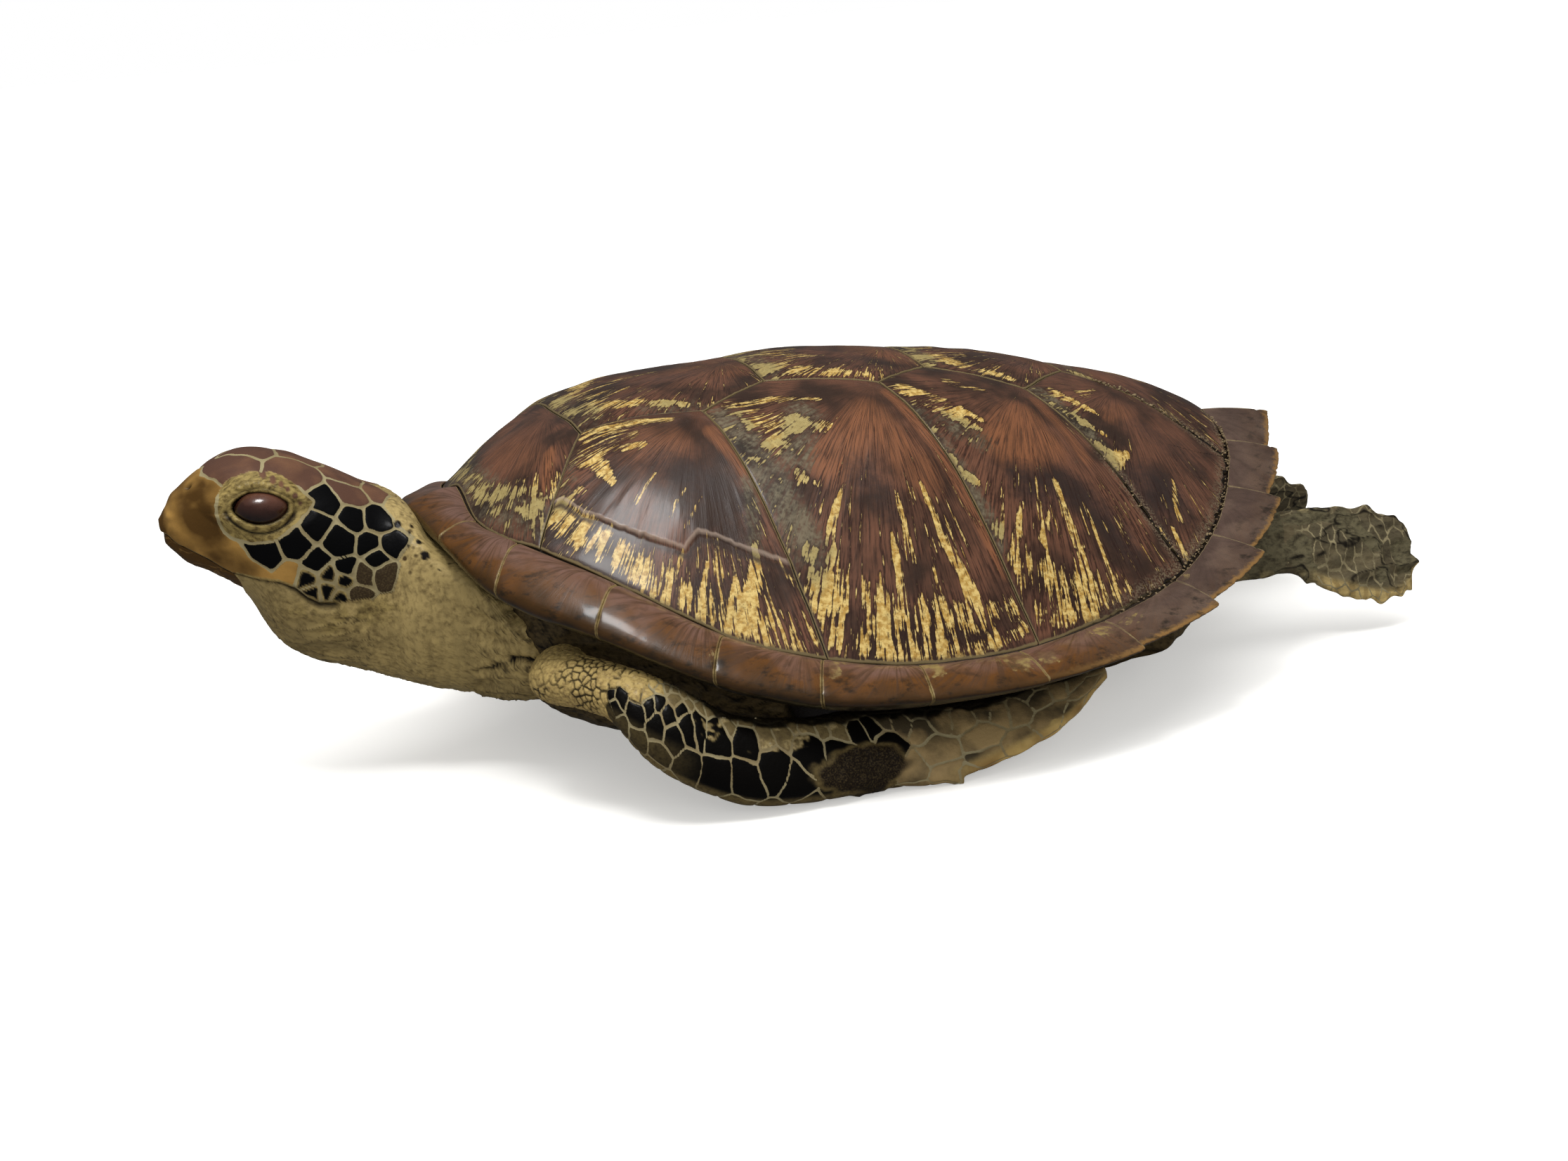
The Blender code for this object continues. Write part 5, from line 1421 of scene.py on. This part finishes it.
    # darker low on the throat and neck, and forward towards the jaw
    below = smooth(0.080, 0.030, z) * smooth(0.4, -0.4, grain(flat, 16 * mm, 8, 3))
    masks["dark"] = np.maximum(
        masks["dark"], (0.24 * smooth(-0.02, -0.09, x) + 0.26 * below) * (throat | (kind == "neck")) * (1 - bright)
    )
    lip = onSide * smooth(0.1, 0.5, -drop) * smooth(2.0, 1.3, -drop) * (x > -0.15)
    masks["lid"] = np.maximum(masks["lid"], lip * 0.9)
    for key in ("scale", "plate", "beak"):
        masks[key] = masks[key] * (1 - 0.9 * lip)
    masks["seam"] = np.where(throat | ((kind == "neck") & (seam > 0.9)), 12.0, seam)
    masks["seam"] = np.where(lidsDone & (rho < 1.3), 12.0, masks["seam"])
    return points.reshape(rows, size, 3), masks


def makeHead(material):
    d = headLook
    xs = np.r_[np.arange(-0.2132, 0.026, d["step"]), np.arange(0.026, 0.122, 0.0026), np.arange(0.124, 0.2, 0.012)]
    sections = headSections(xs)
    angle = 2 * np.pi * (np.arange(d["around"]) + 0.5) / d["around"]
    rings = headPoint(sections, angle)
    mouth = np.interp(xs, [p[0] for p in mouthLine], [p[1] for p in mouthLine])
    floor = mouth + 0.15 * mm + (sections[:, 2] - 0.02 - mouth) * smooth(-0.154, -0.130, xs)
    floor = np.where(xs > -0.129, -1, floor)[:, None]
    rings[..., 2] = np.maximum(rings[..., 2], floor)
    surface, fields = headSurface(rings)
    cut = (rings[..., 2] <= floor + 1e-9)
    surface[cut] = rings[cut]
    points, faces = closedTube(surface)
    fields = {key: np.r_[value.reshape(-1), 0.0, 0.0] for key, value in fields.items()}
    settle(makePiece("head", points, faces, material, fields), "head_and_neck")


def makeJaw(material):
    # Lower beak: the same form as the head, flat on top where it meets the upper beak, its hind end inside the throat
    xs = np.arange(-0.2095, -0.118, 0.0011)
    sections = headSections(xs)
    x, _, bottom, level, half = sections.T
    half = half * 0.965 - 0.0008
    bottom = bottom + 0.0010 + 0.014 * smooth(-0.150, -0.122, xs)
    roof = np.interp(xs, [p[0] for p in mouthLine], [p[1] for p in mouthLine]) - 0.30 * mm
    roof = np.minimum(roof, level - 0.0005)
    start = np.arcsin(np.clip((level - roof) / (level - bottom), 0, 0.98) ** (1 / 0.9))
    f = np.linspace(0, 1, 150)
    angle = -start[:, None] - (np.pi - 2 * start[:, None]) * f[None]
    c, s = np.cos(angle), np.sin(angle)
    y = half[:, None] * np.sign(c) * np.abs(c) ** 0.85
    z = level[:, None] - (level - bottom)[:, None] * np.abs(s) ** 0.9
    lower = np.stack([x[:, None] * np.ones_like(y), y, z], -1)
    g = np.linspace(0, 1, 42)[1:-1]
    flatTop = lower[:, -1:] + (lower[:, :1] - lower[:, -1:]) * g[None, :, None]
    flatTop[..., 2] -= 0.0012 * np.sin(np.pi * g)[None]
    rings = np.concatenate([lower, flatTop], 1)
    flat = rings.reshape(-1, 3)
    push = 0.25 * mm * grain(flat * (1, 1, 2), 5 * mm, 21, 3)
    rings = rings + outward(rings) * push.reshape(rings.shape[:2])[..., None]
    points, faces = closedTube(rings)
    streak = np.abs(grain(points * (0.5, 1, 2.2), 5 * mm, 22, 3))
    fields = {
        "beak": 1.0, "seam": 12.0, "shade": 0.45 + 0.5 * smooth(0.0, 0.3, streak),
        "dark": 0.5 * smooth(0.06, 0.0, streak), "toneShift": 0.0
    }
    settle(makePiece("jaw", points, faces, material, fields), "lower_jaw")


def makeEyes(material):
    for side, word in ((1, "left"), (-1, "right")):
        centre = np.array(eyeSpot["centre"]) * (1, -side, 1)
        radii = np.array(eyeSpot["radii"])
        polar = np.pi * np.arange(1, 48) / 48
        a = 2 * np.pi * np.arange(72) / 72
        rings = centre + radii * np.stack([
            np.sin(polar)[:, None] * np.cos(a)[None], np.cos(polar)[:, None] * np.ones((1, 72)),
            np.sin(polar)[:, None] * np.sin(a)[None],
        ], -1)
        points, faces = closedTube(rings)
        # lift rises towards the top and rear of each eye, for the painted sheen
        lift = 0.5 + (points[:, 2] - centre[2]) / radii[2] * 0.55 + (points[:, 0] - centre[0]) / radii[0] * 0.28
        settle(makePiece(f"glass_eye_{word}", points, faces, material, {"lift": lift}), f"eye_{word}")


def limbRings(table, t, count, side):
    # Rings of points across a limb, from its table of lower edge, upper edge and half thickness
    lows, highs, halves = (np.array([row[k] for row in table], float) for k in range(3))
    span = len(table) - 1
    low, high, half = curve(lows, t), curve(highs, t), curve(halves, t)
    middle, reach = 0.5 * (low + high), 0.5 * (high - low)
    ahead = curve(lows, np.minimum(span, t + 0.1)) + curve(highs, np.minimum(span, t + 0.1))
    behind = curve(lows, np.maximum(0, t - 0.1)) + curve(highs, np.maximum(0, t - 0.1))
    normal = np.cross(ahead - behind, reach)
    normal *= half / np.linalg.norm(normal, axis=1)[:, None]
    angle = 2 * np.pi * np.arange(count) / count
    cosine, sine = np.cos(angle)[None, :, None], np.sin(angle)[None, :, None]
    rings = middle[:, None] + reach[:, None] * cosine + normal[:, None] * sine
    rings[..., 1] *= -side
    rings[..., 2] = np.maximum(rings[..., 2], -bellyDepth + 0.001)
    return rings, middle * (1, -side, 1), angle


def evenRows(table, rows):
    # Values of t that step evenly along a limb
    lows, highs = (np.array([row[k] for row in table], float) for k in range(2))
    t = np.linspace(0, len(table) - 1, 800)
    middle = 0.5 * (curve(lows, t) + curve(highs, t))
    length = np.r_[0, np.cumsum(np.linalg.norm(np.diff(middle, axis=0), axis=1))]
    along = np.linspace(0, 1, rows) * length[-1]
    return np.interp(along, length, t), along


def scatter(length, radiusOf, around, seed, tries=5200):
    # Seeds on an unrolled limb, no closer than radiusOf(along, angle); returned on a cylinder of radius around
    random = np.random.default_rng(seed)
    kept, sizes, places, count = np.zeros((tries, 3)), np.zeros(tries), np.zeros((tries, 2)), 0
    for along, angle in zip(random.uniform(0, length, tries), random.uniform(0, 2 * np.pi, tries)):
        point = np.array([along, around * math.cos(angle), around * math.sin(angle)])
        size = radiusOf(along, angle)
        if (((kept[:count] - point) ** 2).sum(1) < (0.5 * (sizes[:count] + size)) ** 2).any():
            continue
        kept[count], sizes[count], places[count] = point, size, (along, angle)
        count += 1
    return kept[:count], places[:count]


flipperLook = {"rows": 400, "around": 240, "cylinder": 18 * mm, "scaleSwell": 0.45 * mm, "lineDepth": 0.35 * mm}


def makeFrontFlipper(material, side):
    d = flipperLook
    # scales run round the arm: the pattern is laid out on a stretched length, then pressed back
    t, along = evenRows(frontFlipper, 800)
    tight = np.interp(t, [0, 2.2, 3.6, 5.6, 7.0, 10.0], [1.9, 2.0, 1.5, 1.25, 0.95, 0.8])
    laid = np.r_[0, np.cumsum(np.diff(along) * 0.5 * (tight[1:] + tight[:-1]))]
    steps = np.linspace(0, laid[-1], d["rows"])
    t, laid = np.interp(steps, laid, t), steps
    rings, middles, angle = limbRings(frontFlipper, t, d["around"], side)
    tAt = lambda s: np.interp(s, laid, t)
    up = np.cos(angle)[None] * np.ones((len(t), 1))
    face = np.sin(angle)[None] * np.ones((len(t), 1))
    outer = -face if ((rings[90] - middles[90]) @ np.array([0, -side, 0.0]))[np.argmin(np.sin(angle))] > 0 else face

    def radiusOf(s, a):
        at, high = tAt(s), math.cos(a)
        if at < 2.3:
            return 4.6 * mm
        if at < 3.3:
            return (9.0 if high < 0.2 else 5.5) * mm
        if at < 6.2:
            return (16.5 if high < 0.40 else 8.0 if high < 0.68 else 6.0) * mm
        return (12.5 if high < 0.1 else 6.5) * mm

    seeds, places = scatter(laid[-1], radiusOf, d["cylinder"], 5)
    tt, aa = np.meshgrid(laid, angle, indexing="ij")
    q = np.stack([tt, d["cylinder"] * np.cos(aa), d["cylinder"] * np.sin(aa)], -1).reshape(-1, 3)
    flat = rings.reshape(-1, 3) * (1, -side, 1)
    q = q + 0.8 * mm * np.c_[grain(flat, 6 * mm, 31, 2), grain(flat, 6 * mm, 32, 2), grain(flat, 6 * mm, 33, 2)]
    nearest, border = cells(q, seeds, np.zeros(len(seeds)))
    seam = border / mm
    cellT, cellUp = tAt(places[nearest, 0]), np.cos(places[nearest, 1])
    at = np.repeat(t, d["around"])
    high, out = up.ravel(), outer.ravel()
    rough = grain(flat, 9 * mm, 34, 3)
    black = ((cellT > 2.15 + 0.6 * (cellUp > 0.25)) & (cellT < 6.3) & (cellUp < 0.56)).astype(float)
    black *= 1 - 0.15 * smooth(3.6, 2.9, at) * smooth(-0.2, -0.6, high) - 0.3 * smooth(-0.86, -0.98, high)
    small = (cellUp > 0.54) & (cellT > 2.9) & (cellT < 6.9)
    blade = smooth(6.2, 6.5, cellT)
    callus = smooth(
        0.35, 0.60, 1 - np.hypot((at - 5.72) / 0.90, (high + 0.50) / 0.66) + 0.10 * rough + 0.25
    ) * (out > -0.45)
    shoulder = smooth(2.3, 2.1, cellT - 0.5 * (cellUp > 0.25))
    crust = smooth(
        0.50, 0.75, high + 0.4 * rough
    ) * smooth(2.6, 3.2, at) * smooth(6.4, 5.4, at) * smooth(0.15, 0.45, rough) * smooth(
        -0.1, 0.3, grain(flat, 4 * mm, 41, 2)
    )
    # painted shade: a dark band along the upper edge of the arm and blade, under the rim
    shadeFrom = np.interp(at, [3.0, 4.0, 5.5, 6.5, 9.0], [0.80, 0.74, 0.66, 0.45, 0.40])
    shaded = smooth(0, 0.14, high + 0.12 * rough - shadeFrom) * smooth(2.6, 3.6, at)
    yellowEdge = smooth(6.9, 7.6, at) * np.maximum(
        smooth(-0.72, -0.93, high), 0.75 * smooth(-0.55, -0.75, high) * smooth(0.5, 0.8, grain(flat, 12 * mm, 36, 2))
    )
    slits = shoulder * smooth(1.05, 0.45, seam) * smooth(0.9, 1.7, at + 0.5 * (high < 0)) * smooth(
        -0.35, 0.10, grain(flat * (1, 1, 0.7), 9 * mm, 35, 2)
    )
    fields = {
        "scale": black * (1 - callus) * (1 - crust),
        "plate": np.clip(np.clip(blade, 0, 1) * (1 - yellowEdge) + small * 0.75 * (1 - crust), 0, 1), "callus": callus,
        "lid": crust * 0.55, "beak": yellowEdge, "dark": np.clip(np.maximum(slits * 0.9, shaded * 0.95), 0, 0.95),
        "seam": np.where(callus > 0.4, 12.0, np.where(shoulder > 0.5, 12.0, seam * np.where(small, 0.8, 1.0))),
        "toneShift": (((nearest * 41) % 17) / 17 - 0.5) * 0.6 + blade * (
            0.45 - 0.7 * smooth(-0.3, 0.4, high)
        ) - 0.8 * small,
        "shade": 0.35 + 0.3 * rough,
    }
    push = d["scaleSwell"] * (1 - np.exp(-seam / 1.9)) * np.where(
        shoulder > 0.5, 0.55, np.where(blade > 0.5, 0.45, 1.0)
    ) * (1 - callus)
    push -= d["lineDepth"] * np.exp(-(seam / 0.8) ** 2) * np.where(shoulder > 0.5, 1.5, 1.0) * (1 - callus)
    push += callus * mm * (0.9 + 0.7 * grain(flat, 4 * mm, 37, 3))
    push += crust * 0.5 * mm * grain(flat, 2.5 * mm, 38, 2)
    push += 0.7 * mm * grain(flat, 24 * mm, 39, 2) * smooth(7.5, 6.5, at)
    push *= smooth(0, 0.8, at) * smooth(10, 9.6, at) * np.where(at > 8, 0.6, 1)
    rings = rings + outward(rings) * push.reshape(rings.shape[:2])[..., None]
    # small claw on the leading edge, and the blade's slightly scalloped border
    claw = np.exp(-((at - 7.15) / 0.085) ** 2) * smooth(-0.90, -0.99, high)
    scallop = smooth(7.3, 8.0, at) * smooth(-0.85, -0.98, high) * np.abs(np.sin(at * 5.2)) * 0.9
    move = np.zeros_like(rings.reshape(-1, 3))
    move[:, 2] = -(claw * 4.5 + scallop) * mm
    move[:, 0] = claw * 3.5 * mm
    rings = rings + move.reshape(rings.shape)
    points, faces = closedTube(rings)
    fields = {key: np.r_[value, value[0], value[-1]] for key, value in fields.items()}
    item = makePiece(f"arm_flipper_{'left' if side > 0 else 'right'}", points, faces, material, fields)
    settle(item, f"front_flipper_{'left' if side > 0 else 'right'}")
    return item


hindLook = {"rows": 190, "around": 190, "wrinkle": 1.5 * mm}


def makeRearFlipper(material, side):
    d = hindLook
    t, along = evenRows(rearFlipper, d["rows"])
    rings, _, angle = limbRings(rearFlipper, t, d["around"], side)
    at = np.repeat(t, d["around"])
    high = np.tile(np.cos(angle), len(t))
    flat = rings.reshape(-1, 3) * (1, -side, 1)
    coarse = grain(flat * (0.55, 1.0, 1.35), 13 * mm, 51, 3)
    fine = grain(flat * (0.7, 1.0, 1.3), 4 * mm, 52, 3)
    leading = smooth(-0.62, -0.86, high) * smooth(1.2, 1.8, at)
    bars = smooth(0.2, 0.6, np.sin(along[np.repeat(np.arange(len(t)), d["around"])] / mm * 0.85 + 2 * coarse))
    fade = smooth(0.3, 1.2, at)
    push = fade * d["wrinkle"] * (
        (0.45 - np.abs(coarse) * 1.7) + 0.22 * fine
    ) * np.where(leading > 0.5, 0.35, 1.0) * smooth(5.05, 4.4, at)
    rings = rings + outward(rings) * push.reshape(rings.shape[:2])[..., None]
    # dried border: ragged upper edge and notched tip
    points = rings.reshape(-1, 3)
    edge = smooth(0.75, 0.97, np.abs(high))
    ragged = grain(flat, 9 * mm, 53, 2)
    points[:, 2] += edge * np.sign(high) * 2.6 * mm * ragged * smooth(1.5, 2.5, at)
    points[:, 0] += smooth(4.2, 5.0, at) * 5.0 * mm * grain(flat * (0.2, 1, 1), 8 * mm, 54, 2)
    # painted shade along the wrinkle lines
    wrinkleShade = smooth(0.13, 0.02, np.abs(coarse))
    plates = (at > 1.0) & (grain(flat, 18 * mm, 55, 2) > -0.1)
    cellSeeds, _ = scatter(along[-1], lambda s, a: 5.2 * mm, 11 * mm, 56)
    q = np.stack(np.meshgrid(along, angle, indexing="ij"), -1).reshape(-1, 2)
    q = np.c_[q[:, 0], 11 * mm * np.cos(q[:, 1]), 11 * mm * np.sin(q[:, 1])]
    _, border = cells(q, cellSeeds, np.zeros(len(cellSeeds)))
    fields = {
        "dark": np.clip(wrinkleShade * (1 - leading) * 0.95 * fade, 0, 1), "beak": leading, "shade": 0.35 + 0.25 * bars,
        "plate": 0.55 * plates * (1 - leading),
        "seam": np.where(plates, border / mm, 12.0), "toneShift": coarse * 0.5,
        "lid": 0.35 * smooth(0.35, 0.6, ragged) * edge,
    }
    points, faces = closedTube(points.reshape(rings.shape))
    fields = {key: np.r_[value, value[0], value[-1]] for key, value in fields.items()}
    word = "left" if side > 0 else "right"
    settle(makePiece(f"hind_flipper_{word}", points, faces, material, fields), f"rear_flipper_{word}")


def makeTail(material):
    t = np.linspace(0, len(tailLine) - 1, 120)
    x, level, radius = curve(tailLine, t).T
    a = 2 * np.pi * np.arange(110) / 110
    ones = np.ones((1, 110))
    rings = np.stack(
        [
            x[:, None] * ones, radius[:, None] * np.cos(a)[None],
            level[:, None] + radius[:, None] * np.sin(a)[None] * 0.8
        ],
        -1
    )
    flat = rings.reshape(-1, 3)
    folds = grain(flat * (2.0, 0.8, 0.8), 9 * mm, 61, 3)
    rings = rings + outward(rings) * (
        (0.4 - np.abs(folds) * 1.8) * 0.9 * mm * np.repeat(smooth(4, 3.4, t), 110)
    ).reshape(len(t), 110)[..., None]
    points, faces = closedTube(rings)
    # painted shade along the fold lines of the tail
    creaseShade = np.r_[smooth(0.12, 0.02, np.abs(folds)) * 0.9, 0, 0]
    settle(
        makePiece("tail_hide", points, faces, material, {"dark": creaseShade, "seam": 12.0, "toneShift": 0.1}), "tail",
    )


# Crumbs and flakes, scattered by Geometry Nodes
def scatterTree(name, material, onFaces):
    # Small broken chips set along a path of points, or over a patch of faces
    tree = bpy.data.node_groups.new(name, "GeometryNodeTree")
    face = tree.interface
    face.new_socket("Geometry", in_out="INPUT", socket_type="NodeSocketGeometry")
    for label, value in (("Density", 1.0), ("Chip size", 0.001), ("Spread", 0.001)):
        face.new_socket(label, in_out="INPUT", socket_type="NodeSocketFloat").default_value = value
    face.new_socket("Seed", in_out="INPUT", socket_type="NodeSocketInt").default_value = 1
    face.new_socket("Geometry", in_out="OUTPUT", socket_type="NodeSocketGeometry")

    put, vector = partial(addNode, tree), {"data_type": "FLOAT_VECTOR"}
    given = tree.nodes.new("NodeGroupInput").outputs
    if onFaces:
        points = put(
            "GeometryNodeDistributePointsOnFaces",
            {"Mesh": given["Geometry"], "Density": given["Density"], "Seed": given["Seed"]}
        )
    else:
        points = put("GeometryNodeMeshToPoints", {"Mesh": given["Geometry"]})
    wild = put("FunctionNodeRandomValue", {0: (-1, -1, -0.25), 1: (1, 1, 0.6), "Seed": given["Seed"]}, **vector)
    offset = put("ShaderNodeVectorMath", {0: wild, "Scale": given["Spread"]}, operation="SCALE")
    moved = put("GeometryNodeSetPosition", {"Geometry": points, "Offset": offset})
    chip = put("GeometryNodeMeshIcoSphere", {"Radius": 1.0, "Subdivisions": 1})
    flat = put("FunctionNodeRandomValue", {0: (0.35, 0.35, 0.2), 1: (1.0, 1.0, 0.6), "Seed": given["Seed"]}, **vector)
    size = put("ShaderNodeVectorMath", {0: flat, "Scale": given["Chip size"]}, operation="SCALE")
    turn = put("FunctionNodeRandomValue", {0: (-0.7, -0.7, 0), 1: (0.7, 0.7, 6.28), "Seed": given["Seed"]}, **vector)
    chips = put("GeometryNodeInstanceOnPoints", {"Points": moved, "Instance": chip, "Rotation": turn, "Scale": size})
    real = put("GeometryNodeRealizeInstances", {"Geometry": chips})
    done = put("GeometryNodeSetMaterial", {"Geometry": real, "Material": material})
    tree.links.new(done, tree.nodes.new("NodeGroupOutput").inputs[0])
    return tree


def scatterPiece(name, source, tree, values):
    # Runs the tree on the source mesh and keeps the result as a plain mesh
    modifier = source.modifiers.new("scatter", "NODES")
    modifier.node_group = tree
    for socket in tree.interface.items_tree:
        if socket.in_out == "INPUT" and socket.name in values:
            modifier[socket.identifier] = values[socket.name]
    bpy.context.view_layer.update()
    graph = bpy.context.evaluated_depsgraph_get()
    mesh = bpy.data.meshes.new_from_object(source.evaluated_get(graph))
    source.modifiers.remove(modifier)
    bpy.data.objects.remove(source, do_unlink=True)
    mesh.name = name
    item = placed(name, mesh)
    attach(item, "root")


def seamPath(side):
    # Points along the opened rear seams: costal 3 and 4 to the rim, and round the last vertebral plate
    rim = rimLine(innerRim, np.linspace(8.2, 12.6, 70) * side)[:, :2]
    toTail = straight(cornerAt(6, side), rimLine(innerRim, costalFeet[4] * side)[0, :2], 2.2 * mm)
    across = straight(rimLine(innerRim, costalFeet[3] * side)[0, :2], cornerAt(5, side), 4 * mm)[:12]
    return np.vstack([rim, toTail[8:], across])


def makeCrumbs(material):
    random = np.random.default_rng(8)
    tree = scatterTree("seam crumbs", material, False)
    for side, word in ((1, "left"), (-1, "right")):
        path = seamPath(side)
        path = np.vstack([path + random.normal(0, 0.9 * mm, path.shape) for _ in range(3)])
        path = path[random.uniform(size=len(path)) < 0.75]
        points = np.c_[path, dome(path) + 0.15 * mm]
        mesh = bpy.data.meshes.new("crumb path")
        mesh.from_pydata(place(points).tolist(), [], [])
        scatterPiece(
            f"seam_crumbs_{word}", placed("crumb path", mesh), tree, {"Chip size": 0.0011, "Spread": 0.0007, "Seed": 3},
        )


def makeFlakes(material, arm, word):
    # Pale flakes on the upper edge of the upper arm, where the hide dried hardest
    mesh = arm.data
    crust = np.array([item.value for item in mesh.attributes["lid"].data])
    quads = np.array([face.vertices[:] for face in mesh.polygons if len(face.vertices) == 4])
    quads = quads[crust[quads].min(1) > 0.45]
    patch = bpy.data.meshes.new("crust patch")
    patch.from_pydata([point.co for point in mesh.vertices], [], quads.tolist())
    values = {"Density": 90000.0, "Chip size": 0.0007, "Spread": 0.0001, "Seed": 5}
    scatterPiece(
        f"skin_flakes_{word}", placed("crust patch", patch), scatterTree("skin flakes", material, True), values,
    )


studio = {
    "floor": "#f2f1ee", "bounce": "#a09d98", "lift": 0.45, "seen": 1.0, "gloss": 0.10, "soft": 0.55,
    "key": {"at": (-0.42, -0.50, 1.35), "aim": (-0.05, -0.05, 0.1), "size": (0.42, 0.30), "power": 7.5},
    "fill": {"at": (-0.2, -1.9, 0.8), "aim": (0.0, 0.0, 0.1), "size": (1.2, 0.8), "power": 7.5},
    "top": {"strength": 1.55, "angle": 60.0},
}
view = {
    "azimuth": -17.76, "elevation": 14.5, "roll": -4.75, "distance": 1.10, "target": (-0.095, -0.172, 0.110),
    "lens": 55.2
}


def makeStudio():
    size = 14.0
    mesh = bpy.data.meshes.new("floor")
    mesh.from_pydata([(-size, -size, 0), (size, -size, 0), (size, size, 0), (-size, size, 0)], [], [(0, 1, 2, 3)])
    floor = placed("floor", mesh)
    material, add, _, _ = newMaterial("paper backdrop, matt")
    tree = material.node_tree
    shader = tree.nodes["Principled BSDF"]
    shader.inputs["Roughness"].default_value = 0.9
    # white for the camera, greyer for bounced light
    seen = add("LightPath", out="Is Camera Ray")
    paper = add("Mix", {0: seen, 6: tone(studio["bounce"]), 7: tone(studio["floor"])}, out=2, data_type="RGBA")
    tree.links.new(paper, shader.inputs["Base Color"])
    shader.inputs["Emission Color"].default_value = tone(studio["floor"])
    tree.links.new(add("Math", (seen, studio["lift"]), **times), shader.inputs["Emission Strength"])
    mesh.materials.append(material)
    floor.visible_glossy = False
    world = bpy.data.worlds.new("studio")
    world.use_nodes = True
    bpy.context.scene.world = world
    tree = world.node_tree
    path = tree.nodes.new("ShaderNodeLightPath")
    soft = addNode(
        tree, "Mix", (path.outputs["Is Glossy Ray"], None, studio["soft"], studio["gloss"]), data_type="FLOAT"
    )
    level = addNode(tree, "Mix", (path.outputs["Is Camera Ray"], None, soft, studio["seen"]), data_type="FLOAT")
    tree.nodes["Background"].inputs["Color"].default_value = (1, 1, 1, 1)
    tree.links.new(level, tree.nodes["Background"].inputs["Strength"])
    sun = bpy.data.lights.new("top", "SUN")
    sun.energy, sun.angle = studio["top"]["strength"], math.radians(studio["top"]["angle"])
    # lights evenly without a veil of reflection; the key alone makes the highlights
    placed("top", sun).visible_glossy = False
    for name in ("key", "fill"):
        spec = studio[name]
        lamp = bpy.data.lights.new(name, "AREA")
        lamp.shape = "RECTANGLE"
        lamp.size, lamp.size_y = spec["size"]
        lamp.energy = spec["power"]
        item = placed(name, lamp)
        item.location = spec["at"]
        item.rotation_euler = (Vector(spec["aim"]) - Vector(spec["at"])).to_track_quat("-Z", "Y").to_euler()
        item.visible_glossy = name == "key"
    bpy.context.scene.view_settings.view_transform = "Standard"


def makeCamera():
    a, e, r = (math.radians(view[key]) for key in ("azimuth", "elevation", "roll"))
    back = Vector((math.sin(a) * math.cos(e), -math.cos(a) * math.cos(e), math.sin(e)))
    right = Vector((math.cos(a), math.sin(a), 0))
    up = back.cross(right)
    across = right * math.cos(r) + up * math.sin(r)
    upright = up * math.cos(r) - right * math.sin(r)
    camera = bpy.data.cameras.new("camera")
    camera.lens, camera.sensor_width = view["lens"], 36.0
    item = placed("camera", camera)
    item.matrix_world = Matrix((across, upright, back)).transposed().to_4x4()
    item.location = Vector(view["target"]) + back * view["distance"]
    bpy.context.scene.camera = item


makeStudio()
makeCamera()
print("stage and camera made")
makeDomePlates(makeDomeHorn())
print("dome plates made")
makeRimPlates(makeRimHorn())
print("rim plates made")
makeBone(makeBoneMatter())
foldHide = makeSkin("fold hide, dried")
makeFoldSkin("front_fold_skin", "front_skin", np.linspace(-4.5, 4.5, 300), foldHide, 71)
makeFoldSkin(
    "rear_fold_skin", "rear_skin", np.r_[np.linspace(9.5, 12.98, 120), np.linspace(-12.98, -9.5, 120)], foldHide, 74
)
print("bone box and fold skin made")
headHide = makeSkin("head hide, dried and varnished")
makeHead(headHide)
makeJaw(headHide)
makeEyes(makeEyeGlass())
print("head made")
flipperHide = makeSkin("flipper hide, dried and varnished")
hindHide = makeSkin("hind hide, dried and shrunken")
flakes = makeCrumbMatter("skin flakes, dried")
for side, word in ((1, "left"), (-1, "right")):
    arm = makeFrontFlipper(flipperHide, side)
    makeFlakes(flakes, arm, word)
    makeRearFlipper(hindHide, side)
makeTail(hindHide)
print("limbs and tail made")
makeCrumbs(makeCrumbMatter("horn crumbs, broken"))
print("crumbs made")
